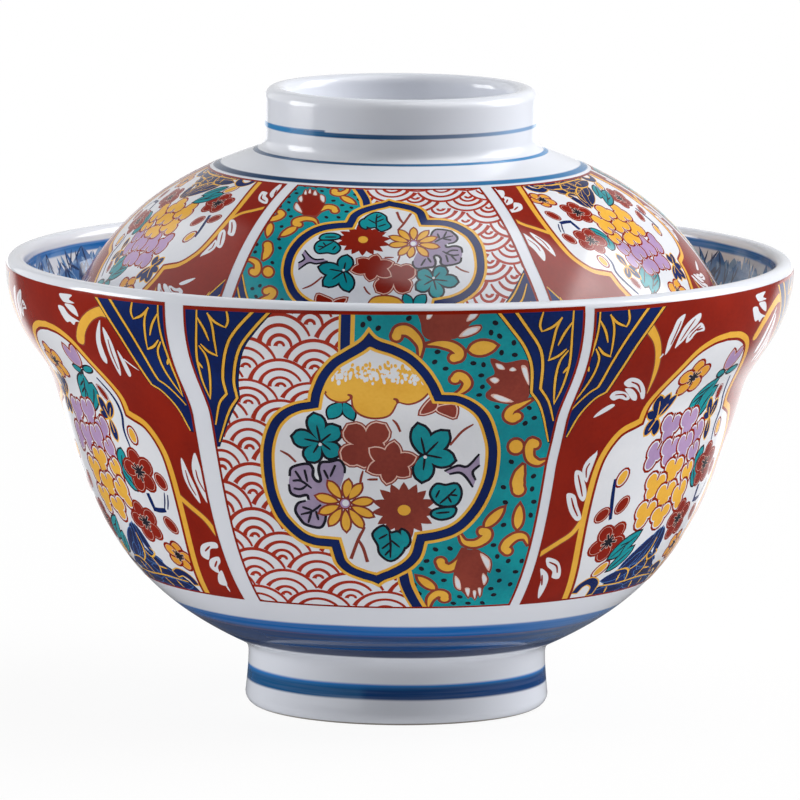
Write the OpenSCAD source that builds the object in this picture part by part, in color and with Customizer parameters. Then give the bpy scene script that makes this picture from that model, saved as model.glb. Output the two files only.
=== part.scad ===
// Lidded ramen bowl in porcelain: a deep bowl with a flared rim on a turned foot ring,
// and a domed lid with a ring grip that drops inside the rim.
// Sizes are in millimetres, +Z is up, and the origin is the centre of the foot's resting face.

/* [Bowl] */
// Outer diameter of the mouth
mouth_d = 165; // [140:1:200]
// Height of the bowl, from the table to the top of the lip
bowl_h = 95; // [80:0.5:120]
// Thickness of the bowl's wall
wall = 4; // [3:0.1:5]
// Height of the flared rim above the waist
rim_h = 26.5; // [22:0.5:32]
// How far the rim reaches out beyond the waist
rim_flare = 10.25; // [6:0.25:14]
// Lean of the wall at the waist, in degrees from upright
waist_lean = 16; // [8:1:24]
// Lean of the wall where the belly leaves the foot, in degrees from upright
belly_lean = 65; // [55:1:72]
// How full the belly is near the foot, as a share of its chord
belly_low = 0.43; // [0.3:0.01:0.5]
// How full the belly is near the waist, as a share of its chord
belly_high = 0.41; // [0.3:0.01:0.5]
// How long the wall keeps its waist lean, as a share of the flare's rise
flare_low = 0.26; // [0.15:0.01:0.4]
// How early the rim turns upright, as a share of the flare's rise
flare_high = 0.53; // [0.35:0.01:0.6]
// Depth of the dished floor inside, below the start of the belly
dish = 4.3; // [3:0.1:6]
// Thickness of the floor over the foot's recess
floor_t = 4.5; // [3.5:0.1:6]

/* [Foot ring] */
// Outer diameter of the foot at its neck
foot_d = 62.4; // [52:0.2:76]
// Height of the neck, where foot and belly meet
foot_h = 13.2; // [10.5:0.1:17]
// How far the foot swells out below the neck
foot_swell = 0.6; // [0:0.1:1.5]
// Thickness of the foot ring at the table
foot_t = 5.6; // [4.8:0.1:7]
// Rounding of the foot's outer edge
foot_edge_r = 2.6; // [1:0.1:3]
// Rounding of the foot's inner edge
foot_inner_r = 1; // [0.5:0.1:1.5]
// Draft of the recess inside the foot ring, in degrees
foot_draft = 8; // [3:1:15]

/* [Lid] */
// Height of the lid, from its rim to the top of the ring grip
lid_h = 54.3; // [45:0.1:66]
// Thickness of the lid's wall
lid_wall = 3.6; // [3:0.1:4.5]
// How far the lid's rim sits below the bowl's lip
seat_drop = 17; // [14:0.5:21]
// Gap between the lid's rim and the bowl's wall
seat_gap = 0.3; // [0.2:0.05:0.6]
// Inward lean of the dome at the rim, in degrees from upright
dome_lean = 25.5; // [15:0.5:35]
// Slope of the dome where it meets the ring grip, in degrees from level
crown_slope = 18.6; // [14:0.2:25]
// How full the dome is near its rim, as a share of its chord
dome_low = 0.345; // [0.25:0.005:0.45]
// How full the dome is near the ring grip, as a share of its chord
dome_high = 0.46; // [0.35:0.01:0.52]
// Rise of the lid's ceiling from the ring grip to the axis
crown_rise = 3; // [2:0.1:4.5]
// Thickness of the crown inside the ring grip
crown_t = 4; // [3:0.1:5]

/* [Ring grip] */
// Outer diameter of the ring grip
ring_d = 57; // [48:0.5:68]
// Height of the ring grip above the dome
ring_h = 12.5; // [11:0.1:15]
// Thickness of the ring grip
ring_t = 4.4; // [3.5:0.1:5.5]
// Draft of the recess inside the ring grip, in degrees
ring_draft = 5; // [2:1:10]

/* [Blends] */
// Length of the blend between a ring and the curved wall that it grows from
neck_blend = 2; // [1:0.1:3]
// Length of the blend at the bottom of each ring's recess
recess_blend = 2; // [1:0.1:3]

/* [Hidden] */

// Steps along a wall curve, a round edge and a blend
wall_steps = 16;
edge_steps = 8;
blend_steps = 4;
// Sides of the turned solids
turn_fn = 96;

// Radii and heights that the bowl's curves run through
mouth_r = mouth_d / 2;
lip_r = wall / 2;
lip_z = bowl_h - lip_r;
waist = [mouth_r - rim_flare, bowl_h - rim_h];
neck = [foot_d / 2, foot_h];

// A unit step that leans outwards from upright by the angle a
function lean(a) = [sin(a), cos(a)];

// Points of a cubic curve, of its offset to the left of its travel, and of a corner blend
function cubic_at(c, t) =
    pow(1 - t, 3) * c[0] + 3 * t * pow(1 - t, 2) * c[1] + 3 * t * t * (1 - t) * c[2] + pow(t, 3) * c[3];
function cubic_heading(c, t) =
    let (d = pow(1 - t, 2) * (c[1] - c[0]) + 2 * t * (1 - t) * (c[2] - c[1]) + t * t * (c[3] - c[2]))
    d / norm(d);
function left_of(h) = [-h[1], h[0]];
function offset_curve(c, depth) =
    [for (i = [0 : wall_steps])
        let (t = i / wall_steps)
        cubic_at(c, t) + depth * left_of(cubic_heading(c, t))];
function blend(a, corner, b, steps = blend_steps) =
    [for (i = [0 : steps])
        let (t = i / steps)
        pow(1 - t, 2) * a + 2 * t * (1 - t) * corner + t * t * b];
function arc(centre, r, from, to) =
    [for (i = [0 : edge_steps])
        centre + r * [cos(from + (to - from) * i / edge_steps), sin(from + (to - from) * i / edge_steps)]];
function reversed(points) = [for (i = [len(points) - 1 : -1 : 0]) points[i]];

// Bowl: the belly's curve from the foot to the waist, then the flare's curve from the waist to the lip
belly_start = neck + neck_blend * lean(belly_lean);
belly_chord = norm(waist - belly_start);
belly = [
    belly_start,
    belly_start + belly_low * belly_chord * lean(belly_lean),
    waist - belly_high * belly_chord * lean(waist_lean),
    waist
];
flare_rise = lip_z - waist[1];
flare = [
    waist,
    waist + flare_low * flare_rise * lean(waist_lean),
    [mouth_r, lip_z - flare_high * flare_rise],
    [mouth_r, lip_z]
];

// Bowl inside: the wall's offset, ending in a dished floor over the foot's recess
belly_inside = offset_curve(belly, wall);
flare_inside = offset_curve(flare, wall);
floor_start = belly_inside[0];
floor_z = floor_start[1] - dish;
floor_corner = [floor_start[0] - dish * tan(belly_lean), floor_z];
recess_z = floor_z - floor_t;

// Foot ring: its rounded sole, and the recess that leans in to the underside of the floor
sole_r = neck[0] + foot_swell;
recess_r = sole_r - foot_t;
recess_corner = [recess_r - recess_z * tan(foot_draft), recess_z];

// Lid: its rim is a full round that lies seat_gap off the inside of the bowl's wall
rim_round = lid_wall / 2;
seat_z = bowl_h - seat_drop;
seat_depth = wall + seat_gap + rim_round;
seat_line = concat(offset_curve(belly, seat_depth), offset_curve(flare, seat_depth));
rim_centre = [lookup(seat_z, [for (p = seat_line) [p[1], p[0]]]), seat_z];
lid_top = seat_z - rim_round + lid_h;
ring_r = ring_d / 2;
ring_lip_r = ring_t / 2;
ring_foot = [ring_r, lid_top - ring_h];

// Dome of the lid, from the rim up to the ring grip
dome_start = rim_centre + rim_round * [cos(dome_lean), sin(dome_lean)];
dome_end = ring_foot + neck_blend * [cos(crown_slope), -sin(crown_slope)];
dome_chord = norm(dome_end - dome_start);
dome = [
    dome_start,
    dome_start + dome_low * dome_chord * [-sin(dome_lean), cos(dome_lean)],
    dome_end + dome_high * dome_chord * [cos(crown_slope), -sin(crown_slope)],
    dome_end
];
dome_inside = offset_curve(dome, lid_wall);

// Crown of the lid: a shallow ceiling, and the recess floor inside the ring grip
ceiling_end = dome_inside[wall_steps];
ceiling_z = ceiling_end[1] + crown_rise;
ceiling_corner = [ceiling_end[0] - crown_rise / tan(crown_slope), ceiling_z];
crown_z = ceiling_z + crown_t;
ring_corner = [ring_r - ring_t - (lid_top - ring_lip_r - crown_z) * tan(ring_draft), crown_z];

module turned(outline) {
    rotate_extrude($fn = turn_fn) polygon(outline);
}

// Bowl with its foot ring, thrown and turned as one piece
module bowl() {
    color("whitesmoke") turned(concat(
        [[0, recess_z]],
        blend(recess_corner - [recess_blend, 0], recess_corner,
            recess_corner - recess_blend * [-sin(foot_draft), cos(foot_draft)]),
        arc([recess_r + foot_inner_r, foot_inner_r], foot_inner_r, 180, 270),
        arc([sole_r - foot_edge_r, foot_edge_r], foot_edge_r, 270, 360),
        blend([sole_r, foot_edge_r], [neck[0], (foot_edge_r + foot_h) / 2], neck - [0, neck_blend]),
        blend(neck - [0, neck_blend], neck, belly_start),
        offset_curve(belly, 0),
        offset_curve(flare, 0),
        arc([mouth_r - lip_r, lip_z], lip_r, 0, 180),
        reversed(flare_inside),
        reversed(belly_inside),
        blend(floor_start, floor_corner, [0, floor_z], edge_steps)
    ));
}

// Lid with its ring grip, shaped like a shallow bowl turned over
module lid() {
    color("whitesmoke") turned(concat(
        [[0, crown_z]],
        blend(ring_corner - [recess_blend, 0], ring_corner,
            ring_corner + recess_blend * [sin(ring_draft), cos(ring_draft)]),
        arc([ring_r - ring_lip_r, lid_top - ring_lip_r], ring_lip_r, 180, 0),
        blend(ring_foot + [0, neck_blend], ring_foot, dome_end),
        reversed(offset_curve(dome, 0)),
        arc(rim_centre, rim_round, dome_lean, dome_lean - 180),
        dome_inside,
        blend(ceiling_end, ceiling_corner, [0, ceiling_z], edge_steps)
    ));
}

bowl();
lid();
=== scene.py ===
# %% [markdown]
# # A lidded noodle bowl in painted porcelain
# The bowl and its lid are two turned porcelain pieces. They are thrown as plain white shapes, painted with
# a few blue rings under the clear glaze, and then decorated over the glaze with panels of coloured enamel.
# The lesson follows the potter's order: the room and camera first, then the turned bodies, the glaze, and
# last the enamel panels, which take most of the work. Sizes are in millimetres until a mesh is made.

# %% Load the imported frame
import math
import random

import bpy
import numpy as np
from mathutils import Matrix, Vector
from mathutils.geometry import delaunay_2d_cdt


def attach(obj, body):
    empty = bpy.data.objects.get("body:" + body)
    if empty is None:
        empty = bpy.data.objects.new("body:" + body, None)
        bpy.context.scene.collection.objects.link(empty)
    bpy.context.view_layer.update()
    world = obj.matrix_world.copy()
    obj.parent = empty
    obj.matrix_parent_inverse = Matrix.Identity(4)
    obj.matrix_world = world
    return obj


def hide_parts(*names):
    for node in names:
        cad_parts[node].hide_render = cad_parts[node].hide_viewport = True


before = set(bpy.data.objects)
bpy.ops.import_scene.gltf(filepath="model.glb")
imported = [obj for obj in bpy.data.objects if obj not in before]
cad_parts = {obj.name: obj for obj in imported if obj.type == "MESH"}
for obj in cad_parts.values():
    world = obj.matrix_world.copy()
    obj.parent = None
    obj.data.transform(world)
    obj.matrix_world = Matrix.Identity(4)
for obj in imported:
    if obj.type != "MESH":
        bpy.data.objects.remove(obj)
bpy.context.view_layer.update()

MM = 0.001

# %% [markdown]
# ## The photographer's view
# The bowl is seen from a little above the rim through a very long lens, so its sides stay almost parallel.
# A camera far away with a long focal length gives the same flat, catalogue-like view. The camera is turned
# about its own line of sight by a fraction of a degree, because the bowl leans by that much in the picture.

# %% Camera
SENSOR_WIDTH = 36
FOCAL_PIXELS, PICTURE_PIXELS = 10953.6, 800
CAMERA_LEAN = 0.444


def looking(place, target):
    """A pose at a place that looks at a target."""
    way = Vector(target) - Vector(place)
    return Matrix.Translation(Vector(place)) @ way.to_track_quat("-Z", "Y").to_matrix().to_4x4()


camera_data = bpy.data.cameras.new("view_camera")
camera_data.sensor_width = SENSOR_WIDTH
camera_data.lens = SENSOR_WIDTH * FOCAL_PIXELS / PICTURE_PIXELS
camera_data.clip_end = 50
camera = bpy.data.objects.new("view_camera", camera_data)
bpy.context.scene.collection.objects.link(camera)
camera_place = Vector((0.00027, -2.278, 0.3749))
look_at = Vector((0.00027, 0, 0.06429))
camera.matrix_world = looking(camera_place, look_at) @ Matrix.Rotation(math.radians(CAMERA_LEAN), 4, "Z")
bpy.context.scene.camera = camera
bpy.context.scene.view_settings.view_transform = "Standard"
print("lens", round(camera_data.lens, 1), "mm at", round((look_at - camera_place).length, 3), "m")


# %% [markdown]
# ## Shader sums that read like sums
# A material is a net of nodes. Wrapping a socket in a small class lets a mask be written as a sum, such as
# `1 - band`, and every other node comes from one method, which sets a node's options before its sockets.

# %% A wire between nodes, and the recipe that holds them
class Wire:
    """A value that runs between nodes. Sums on it add Math nodes to its recipe."""

    def __init__(self, recipe, socket):
        self.recipe, self.socket = recipe, socket

    def sum(self, operation, first, second):
        return self.recipe.node("ShaderNodeMath", {"operation": operation}, {0: first, 1: second})

    def __add__(self, other):
        return self.sum("ADD", self, other)

    def __radd__(self, other):
        return self.sum("ADD", other, self)

    def __sub__(self, other):
        return self.sum("SUBTRACT", self, other)

    def __rsub__(self, other):
        return self.sum("SUBTRACT", other, self)

    def __mul__(self, other):
        return self.sum("MULTIPLY", self, other)

    def __pow__(self, other):
        return self.sum("POWER", self, other)


class Recipe:
    """The nodes of one material, or of the world."""

    def __init__(self, holder):
        holder.use_nodes = True
        self.holder, self.tree = holder, holder.node_tree
        self.tree.nodes.clear()

    def node(self, kind, settings=None, sockets=None, out=0):
        made = self.tree.nodes.new(kind)
        for setting, value in (settings or {}).items():
            setattr(made, setting, value)
        for name, value in (sockets or {}).items():
            if isinstance(value, Wire):
                self.tree.links.new(value.socket, made.inputs[name])
            else:
                made.inputs[name].default_value = value
        return Wire(self, made.outputs[out])

    def wires(self, kind, *names, sockets=None):
        """Wires from the named outputs of a new node."""
        outputs = self.node(kind, {}, sockets).socket.node.outputs
        return [Wire(self, outputs[name]) for name in names]

    def bump(self, height, strength, distance):
        return self.node("ShaderNodeBump", {}, {
            "Height": height, "Strength": strength, "Distance": distance})

    def fade(self, value, start, end):
        """0 before start, 1 after end, and a soft step between them."""
        return self.node("ShaderNodeMapRange", {"interpolation_type": "SMOOTHSTEP"},
                         {"Value": value, "From Min": start, "From Max": end})

    def noise(self, place, scale, detail=2.0):
        return self.node("ShaderNodeTexNoise", {}, {"Vector": place, "Scale": scale, "Detail": detail})

    def stretch(self, place, scale):
        return self.node("ShaderNodeMapping", {}, {"Vector": place, "Scale": scale})

    def tint(self, mask, below, above):
        """The colour below where the mask is 0, and above where it is 1."""
        return self.node("ShaderNodeMix", {"data_type": "RGBA"}, {0: mask, 6: below, 7: above}, out=2)

    def finish(self, shader, kind="ShaderNodeOutputMaterial"):
        self.tree.links.new(shader.socket, self.tree.nodes.new(kind).inputs["Surface"])


def colour(red, green, blue):
    """A colour as a screen shows it, 0 to 255, turned into the linear light that shaders use."""
    linear = [c / 255 / 12.92 if c <= 10 else ((c / 255 + 0.055) / 1.055) ** 2.4
              for c in (red, green, blue)]
    return (*linear, 1.0)


print("shader helpers ready")

# %% [markdown]
# ## A white studio
# The bowl stands on a white table in front of a white wall, in broad soft light: one large panel on each
# side and one overhead. The table is a matt white that still takes a shadow, and part of what the camera
# sees of it is plain white, so that the ground stays as pale as paper. In a real studio the glaze would
# mirror stands and dark corners. Here the table and the sky are simply darker to mirrored rays in places.

# %% Table
TABLE_SIZE, TABLE_DROP = 8, 0.0002
bpy.ops.object.select_all(action="DESELECT")
bpy.ops.mesh.primitive_plane_add(size=TABLE_SIZE, location=(0, 0, -TABLE_DROP))
table = bpy.context.active_object
table.name = "white_table"
paper = Recipe(bpy.data.materials.new("white_table_top"))
seen, mirrored = paper.wires("ShaderNodeLightPath", "Is Camera Ray", "Is Glossy Ray")
(floor,) = paper.wires("ShaderNodeTexCoord", "Object")
right, back = paper.wires("ShaderNodeSeparateXYZ", "X", "Y", sockets={0: floor})
aside = right - 0.05
near_bowl = paper.fade(back - aside * aside * 2.5, 0.17, 0.08)
far_off = paper.fade(right * right + back * back, 0.10, 0.45)
strength = 1.0 + mirrored * (0.4 - near_bowl * 1.34)
glow = paper.node("ShaderNodeEmission", {}, {"Color": (1, 1, 1, 1), "Strength": strength})
matt = paper.node("ShaderNodeBsdfDiffuse", {}, {"Color": (0.86, 0.86, 0.86, 1)})
share = seen * (0.53 + far_off * 0.07) + mirrored * 0.53 + 0.40
paper.finish(paper.node("ShaderNodeMixShader", {}, {0: share, 1: matt, 2: glow}))
table.data.materials.append(paper.holder)
print("table:", TABLE_SIZE, "m wide")

# %% World
world = bpy.data.worlds.new("white_studio")
bpy.context.scene.world = world
air = Recipe(world)
seen, mirrored = air.wires("ShaderNodeLightPath", "Is Camera Ray", "Is Glossy Ray")
(way,) = air.wires("ShaderNodeTexCoord", "Generated")
right, behind, up = air.wires("ShaderNodeSeparateXYZ", "X", "Y", "Z", sockets={0: way})
sky = air.fade(behind, -0.75, 0.45) * 0.40 + 0.03
left_wall = air.fade(right, -0.42, -0.48) * air.fade(up, 0.84, 0.79)
back_wall = air.fade(behind, 0.75, 0.97)
sky = sky * (1 - mirrored * 0.7) + mirrored * (back_wall * 0.50 + left_wall * 0.75)
level = sky * (1 - seen) + seen
air.finish(air.node("ShaderNodeBackground", {}, {"Color": (1, 1, 1, 1), "Strength": level}),
           "ShaderNodeOutputWorld")
print("world:", world.name)

# %% Lamps
LIT_SPOT = (0, 0, 0.07)


def soft_panel(name, place, width, height, power):
    """A large lamp that faces the bowl and can't be seen itself."""
    lamp = bpy.data.lights.new(name, "AREA")
    lamp.shape, lamp.size, lamp.size_y, lamp.energy = "RECTANGLE", width, height, power
    stand = bpy.data.objects.new(name, lamp)
    bpy.context.scene.collection.objects.link(stand)
    stand.matrix_world = looking(place, LIT_SPOT)
    stand.visible_camera = False


soft_panel("right_panel", (1.5, 0.35, 0.85), 1.25, 1.3, 27)
soft_panel("left_panel", (-1.5, 0.1, 0.40), 0.8, 0.7, 12.5)
soft_panel("top_panel", (0.6, -0.2, 1.5), 1.3, 1.3, 12)

# %% [markdown]
# ## The turned profiles
# Both bodies are round, so each is described by half of its section. The wall of the bowl is two smooth
# curves, a full belly and a flaring rim, that meet at the waist. The inside of the wall is the same curve
# moved in by the wall's thickness. The lid is a dome that ends in a ring grip.

# %% Curves of a section
def lean(angle):
    """A unit step that leans outwards from upright by an angle in degrees."""
    return np.array([math.sin(math.radians(angle)), math.cos(math.radians(angle))])


def cubic(four, steps):
    """Points and unit headings along a cubic curve."""
    t = np.linspace(0, 1, steps + 1)[:, None]
    a, b, c, d = (np.asarray(p, float) for p in four)
    spots = (1 - t) ** 3 * a + 3 * t * (1 - t) ** 2 * b + 3 * t * t * (1 - t) * c + t ** 3 * d
    heading = (1 - t) ** 2 * (b - a) + 2 * t * (1 - t) * (c - b) + t * t * (d - c)
    return spots, heading / np.linalg.norm(heading, axis=1)[:, None]


def shifted(four, depth, steps):
    """The curve moved to the left of its travel, as the inside of a wall is."""
    spots, heading = cubic(four, steps)
    return spots + depth * np.c_[-heading[:, 1], heading[:, 0]]


def rounded(start, corner, end, steps=8):
    """A corner eased into a curve."""
    t = np.linspace(0, 1, steps + 1)[:, None]
    start, corner, end = (np.asarray(p, float) for p in (start, corner, end))
    return (1 - t) ** 2 * start + 2 * t * (1 - t) * corner + t * t * end


def arc(centre, radius, start, end, steps=12):
    angle = np.radians(np.linspace(start, end, steps + 1))
    return np.asarray(centre) + radius * np.c_[np.cos(angle), np.sin(angle)]


print("a quarter of a circle has", len(arc((0, 0), 1, 0, 90)), "points")

# %% Section of the bowl
neck, waist = np.array([31.2, 13.2]), np.array([72.25, 68.5])
mouth, lip_z, lip_round, bowl_thick = 82.5, 93.0, 2, 4.0
foot_lean, waist_lean, hollow_lean = 65, 16, 8
sole, hollow, sole_round = 31.8, 26.2, 2.6
well_drop, well_thick = 4.3, 4.5
GLAZE_STEP = 0.05

belly_start = neck + 2 * lean(foot_lean)
chord = np.linalg.norm(waist - belly_start)
belly = [belly_start, belly_start + 0.43 * chord * lean(foot_lean),
         waist - 0.41 * chord * lean(waist_lean), waist]
rise = lip_z - waist[1]
flare = [waist, waist + 0.26 * rise * lean(waist_lean), [mouth, lip_z - 0.53 * rise], [mouth, lip_z]]
belly_inside, flare_inside = shifted(belly, bowl_thick, 48), shifted(flare, bowl_thick, 28)
well_edge = belly_inside[0]
well_z = well_edge[1] - well_drop
well_corner = (well_edge[0] - well_drop * math.tan(math.radians(foot_lean)), well_z)
hollow_z = well_z - well_thick
hollow_corner = np.array([hollow - hollow_z * math.tan(math.radians(hollow_lean)), hollow_z])
bowl_section = np.vstack([
    [[0, hollow_z]],
    rounded(hollow_corner - (2, 0), hollow_corner, hollow_corner - 2 * lean(hollow_lean) * (-1, 1)),
    arc((hollow + 1, 1), 1, 180, 270, 6),
    arc((sole - sole_round, sole_round), sole_round, 270, 360),
    rounded((sole, sole_round), (neck[0], (sole_round + neck[1]) / 2), neck - (0, 2))[1:],
    rounded(neck - (0, 2), neck, belly_start)[1:],
    shifted(belly, GLAZE_STEP, 64)[1:],
    shifted(flare, GLAZE_STEP, 36)[1:],
    arc((mouth - lip_round, lip_z), lip_round - GLAZE_STEP, 0, 180, 16)[1:],
    flare_inside[::-1][1:],
    belly_inside[::-1][1:],
    rounded(well_edge, well_corner, (0, well_z), 16)[1:],
])
print("bowl section:", len(bowl_section), "points, well at", round(well_z, 1), "mm")

# %% Section of the lid
lid_thick, lid_top, grip, grip_height, grip_round = 3.6, 130.5, 28.5, 12.5, 2.2
seat_gap, rim_z = 0.3, 78.0
rim_lean, crown_fall, grip_lean = 25.5, 18.6, 5
ceiling_rise, crown_thick = 3, 4

seat_depth = bowl_thick + seat_gap + lid_thick / 2
seat_line = np.vstack([shifted(belly, seat_depth, 16), shifted(flare, seat_depth, 16)])
rim_centre = np.array([np.interp(rim_z, seat_line[:, 1], seat_line[:, 0]), rim_z])
dome_start = rim_centre + lid_thick / 2 * lean(90 - rim_lean)
grip_foot = np.array([grip, lid_top - grip_height])
crown_way = lean(90 + crown_fall)
dome_end = grip_foot + 2 * crown_way
dome_chord = np.linalg.norm(dome_end - dome_start)
dome = [dome_start, dome_start + 0.345 * dome_chord * lean(-rim_lean),
        dome_end + 0.46 * dome_chord * crown_way, dome_end]
dome_inside = shifted(dome, lid_thick, 40)
ceiling_edge = dome_inside[-1]
ceiling_z = ceiling_edge[1] + ceiling_rise
ceiling_corner = (ceiling_edge[0] - ceiling_rise / math.tan(math.radians(crown_fall)), ceiling_z)
crown_z = ceiling_z + crown_thick
grip_depth = lid_top - grip_round - crown_z
crown_corner = np.array([grip - 2 * grip_round - grip_depth * math.tan(math.radians(grip_lean)), crown_z])
lid_section = np.vstack([
    [[0, crown_z]],
    rounded(crown_corner - (2, 0), crown_corner, crown_corner + 2 * lean(grip_lean)),
    arc((grip - grip_round, lid_top - grip_round), grip_round, 180, 0, 18),
    rounded(grip_foot + (0, 2), grip_foot, dome_end)[:-1],
    shifted(dome, GLAZE_STEP, 64)[::-1],
    arc(rim_centre, lid_thick / 2, rim_lean, rim_lean - 180, 16)[1:],
    dome_inside[1:],
    rounded(ceiling_edge, ceiling_corner, (0, ceiling_z), 16)[1:],
])
print("lid section:", len(lid_section), "points, rim at radius", round(rim_centre[0], 2))


# %% [markdown]
# ## Turning the bodies
# On the wheel a profile is swept round the axis, and Spin does the same. A plane is added and merged into
# one point, the point is extruded along the section, and the line is spun through a full turn. The seam and
# the poles then hold doubled points, so they are merged before the faces are made to point outwards.

# %% Spin a section
TURN_STEPS = 240


def turned(name, section):
    bpy.ops.object.select_all(action="DESELECT")
    bpy.ops.mesh.primitive_plane_add(size=0.01, location=(0, 0, 0))
    body = bpy.context.active_object
    body.name = body.data.name = name
    bpy.ops.object.mode_set(mode="EDIT")
    bpy.ops.mesh.merge(type="CENTER")
    bpy.ops.transform.translate(value=(section[0][0] * MM, 0, section[0][1] * MM))
    for step in np.diff(section, axis=0) * MM:
        bpy.ops.mesh.extrude_vertices_move(TRANSFORM_OT_translate={"value": (step[0], 0, step[1])})
    bpy.ops.mesh.select_all(action="SELECT")
    bpy.ops.mesh.spin(steps=TURN_STEPS, angle=2 * math.pi, center=(0, 0, 0), axis=(0, 0, 1))
    bpy.ops.mesh.select_all(action="SELECT")
    bpy.ops.mesh.remove_doubles(threshold=1e-6)
    bpy.ops.mesh.normals_make_consistent(inside=False)
    bpy.ops.object.mode_set(mode="OBJECT")
    bpy.ops.object.shade_smooth()
    print(name, "turned:", len(body.data.polygons), "faces")
    return body


bowl_body = turned("bowl_body", bowl_section)
lid_body = turned("lid_body", lid_section)
for body, node in ((bowl_body, "bowl"), (lid_body, "lid")):
    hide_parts(node)
    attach(body, node)


# %% [markdown]
# ## Clear glaze over white clay
# Fired porcelain is a cool white under a thin layer of glass. The glass is smooth but never quite flat, so
# it gets a faint, wide ripple and a little change of gloss. The blue rings are painted on the clay with a
# loaded brush while the piece turns on the wheel. Each is a mask between two heights, or between two
# distances from the axis. Its edges wander, and other tones are mixed in where the blue pools or runs dry.
# Some tones are painted light: the wash and the lid's lines are paler on the lit right as a painted sheen,
# and the dark line under the wash is painted darker on the front as shade.

# %% Glaze recipes
CLAY_WHITE, CLAY_SHADE = colour(231, 234, 241), colour(225, 228, 237)
SKY_BLUE, RING_BLUE, DEEP_BLUE = colour(28, 120, 196), colour(0, 100, 178), colour(0, 58, 118)
WASH_BLUE, FOOT_BLUE, WAIST_BLUE = colour(22, 56, 106), colour(18, 86, 138), colour(0, 34, 84)
DARK_LINE, LINE_SHEEN_PAINTED, LOW_LINE = colour(0, 74, 122), colour(46, 132, 190), colour(0, 56, 98)
WASH_MAUVE, WASH_SHEEN_PAINTED = colour(96, 74, 116), colour(150, 176, 206)


class Glaze(Recipe):
    """White clay under clear glaze. Heights are in millimetres, and x and y in metres."""

    def __init__(self, name):
        super().__init__(bpy.data.materials.new(name))
        (self.place,) = self.wires("ShaderNodeTexCoord", "Object")
        self.x, self.y, up = self.wires("ShaderNodeSeparateXYZ", "X", "Y", "Z", sockets={0: self.place})
        self.height = up * 1000
        self.body = self.tint(self.noise(self.place, 40), CLAY_WHITE, CLAY_SHADE)

    def ring(self, low, high, soft, wander, level=None):
        """A brushed ring between two heights, or two other levels, 0 to 1, with wandering edges."""
        drift = (self.noise(self.place, 35, 1) - 0.5) * (2 * wander)
        level = (level or self.height) + drift
        return self.fade(level, low - soft, low + soft) * self.fade(level, high + soft, high - soft)

    def brush(self):
        """Long streaks that a brush leaves round a turning piece."""
        return self.noise(self.stretch(self.place, (25, 25, 1400)), 1.0, 3)

    def glass(self, base, gloss):
        dull = self.noise(self.place, 160) * 0.05 + (gloss - 0.025)
        skin = self.bump(self.noise(self.place, 55, 1), 0.12, 0.0004)
        self.finish(self.node("ShaderNodeBsdfPrincipled", {}, {
            "Base Color": base, "Roughness": dull, "Normal": skin, "IOR": 1.5}))
        print("glaze:", self.holder.name)
        return self.holder


# %% Outside of the bowl: a broad wash above the foot, a dark line under it, and the foot ring
outside = Glaze("bowl_glaze_with_blue_rings")
streaks, height = outside.brush(), outside.height
tone = outside.tint(outside.fade(height + streaks * 1.2, 21.3, 22.4), WASH_BLUE, RING_BLUE)
tone = outside.tint(outside.ring(20.9, 21.2, 0.12, 0.4) * 0.6, tone, WASH_MAUVE)
tone = outside.tint(outside.fade(height, 22.7, 23.9) * 0.6, tone, SKY_BLUE)
tone = outside.tint(outside.fade(streaks, 0.40, 0.75) * 0.45, tone, RING_BLUE)
# painted sheen: the wash is paler towards the right, where the light from the right is mirrored
tone = outside.tint(outside.fade(outside.x, 0.010, 0.055) * 0.35, tone, WASH_SHEEN_PAINTED)
wash = outside.ring(15.3, 23.7, 0.3, 0.25)
base = outside.tint(wash * (0.84 + streaks * 0.26), outside.body, tone)
# painted shade: the dark line under the wash is strongest on the front, where the foot's side lies in shadow
front_shade_mask = outside.fade(outside.y, -0.018, -0.034)
deep = outside.ring(15.0, 17.0, 0.25, 0.25)
base = outside.tint(deep * (0.45 + front_shade_mask * 0.55), base, WAIST_BLUE)
foot_band_tone = outside.tint(outside.fade(height + streaks, 9.2, 8.0), SKY_BLUE, FOOT_BLUE)
# the lower foot band is darker right of an upright line a few millimetres left of the middle
darker_right_part = outside.fade(outside.x, -0.0085, -0.0055) * outside.fade(height + streaks * 1.6, 9.2, 8.2)
foot_band_tone = outside.tint(darker_right_part * 0.92, foot_band_tone, DEEP_BLUE)
foot_ring = outside.ring(5.55, 8.75, 0.3, 0.2)
base = outside.tint(foot_ring * (0.84 + streaks * 0.3), base, foot_band_tone)
bowl_glaze = outside.glass(base, 0.07 + deep * 0.3)

# %% Inside of the bowl: a band under the lip that runs a little askew
inside = Glaze("bowl_inside_glaze_with_blue_band")
streaks = inside.brush()
band = inside.ring(91.0, 92.8, 0.25, 0.5, inside.height - inside.x * 8) * (0.75 + streaks * 0.4)
band_tone = inside.tint(inside.fade(streaks, 0.35, 0.7), SKY_BLUE, RING_BLUE)
bowl_inside_glaze = inside.glass(inside.tint(band, inside.body, band_tone), 0.12)

# %% Lid: a line round the grip whose ends overlap, one round the foot of the grip, and one below it
crown = Glaze("lid_glaze_with_blue_lines")
streaks = crown.brush()
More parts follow.
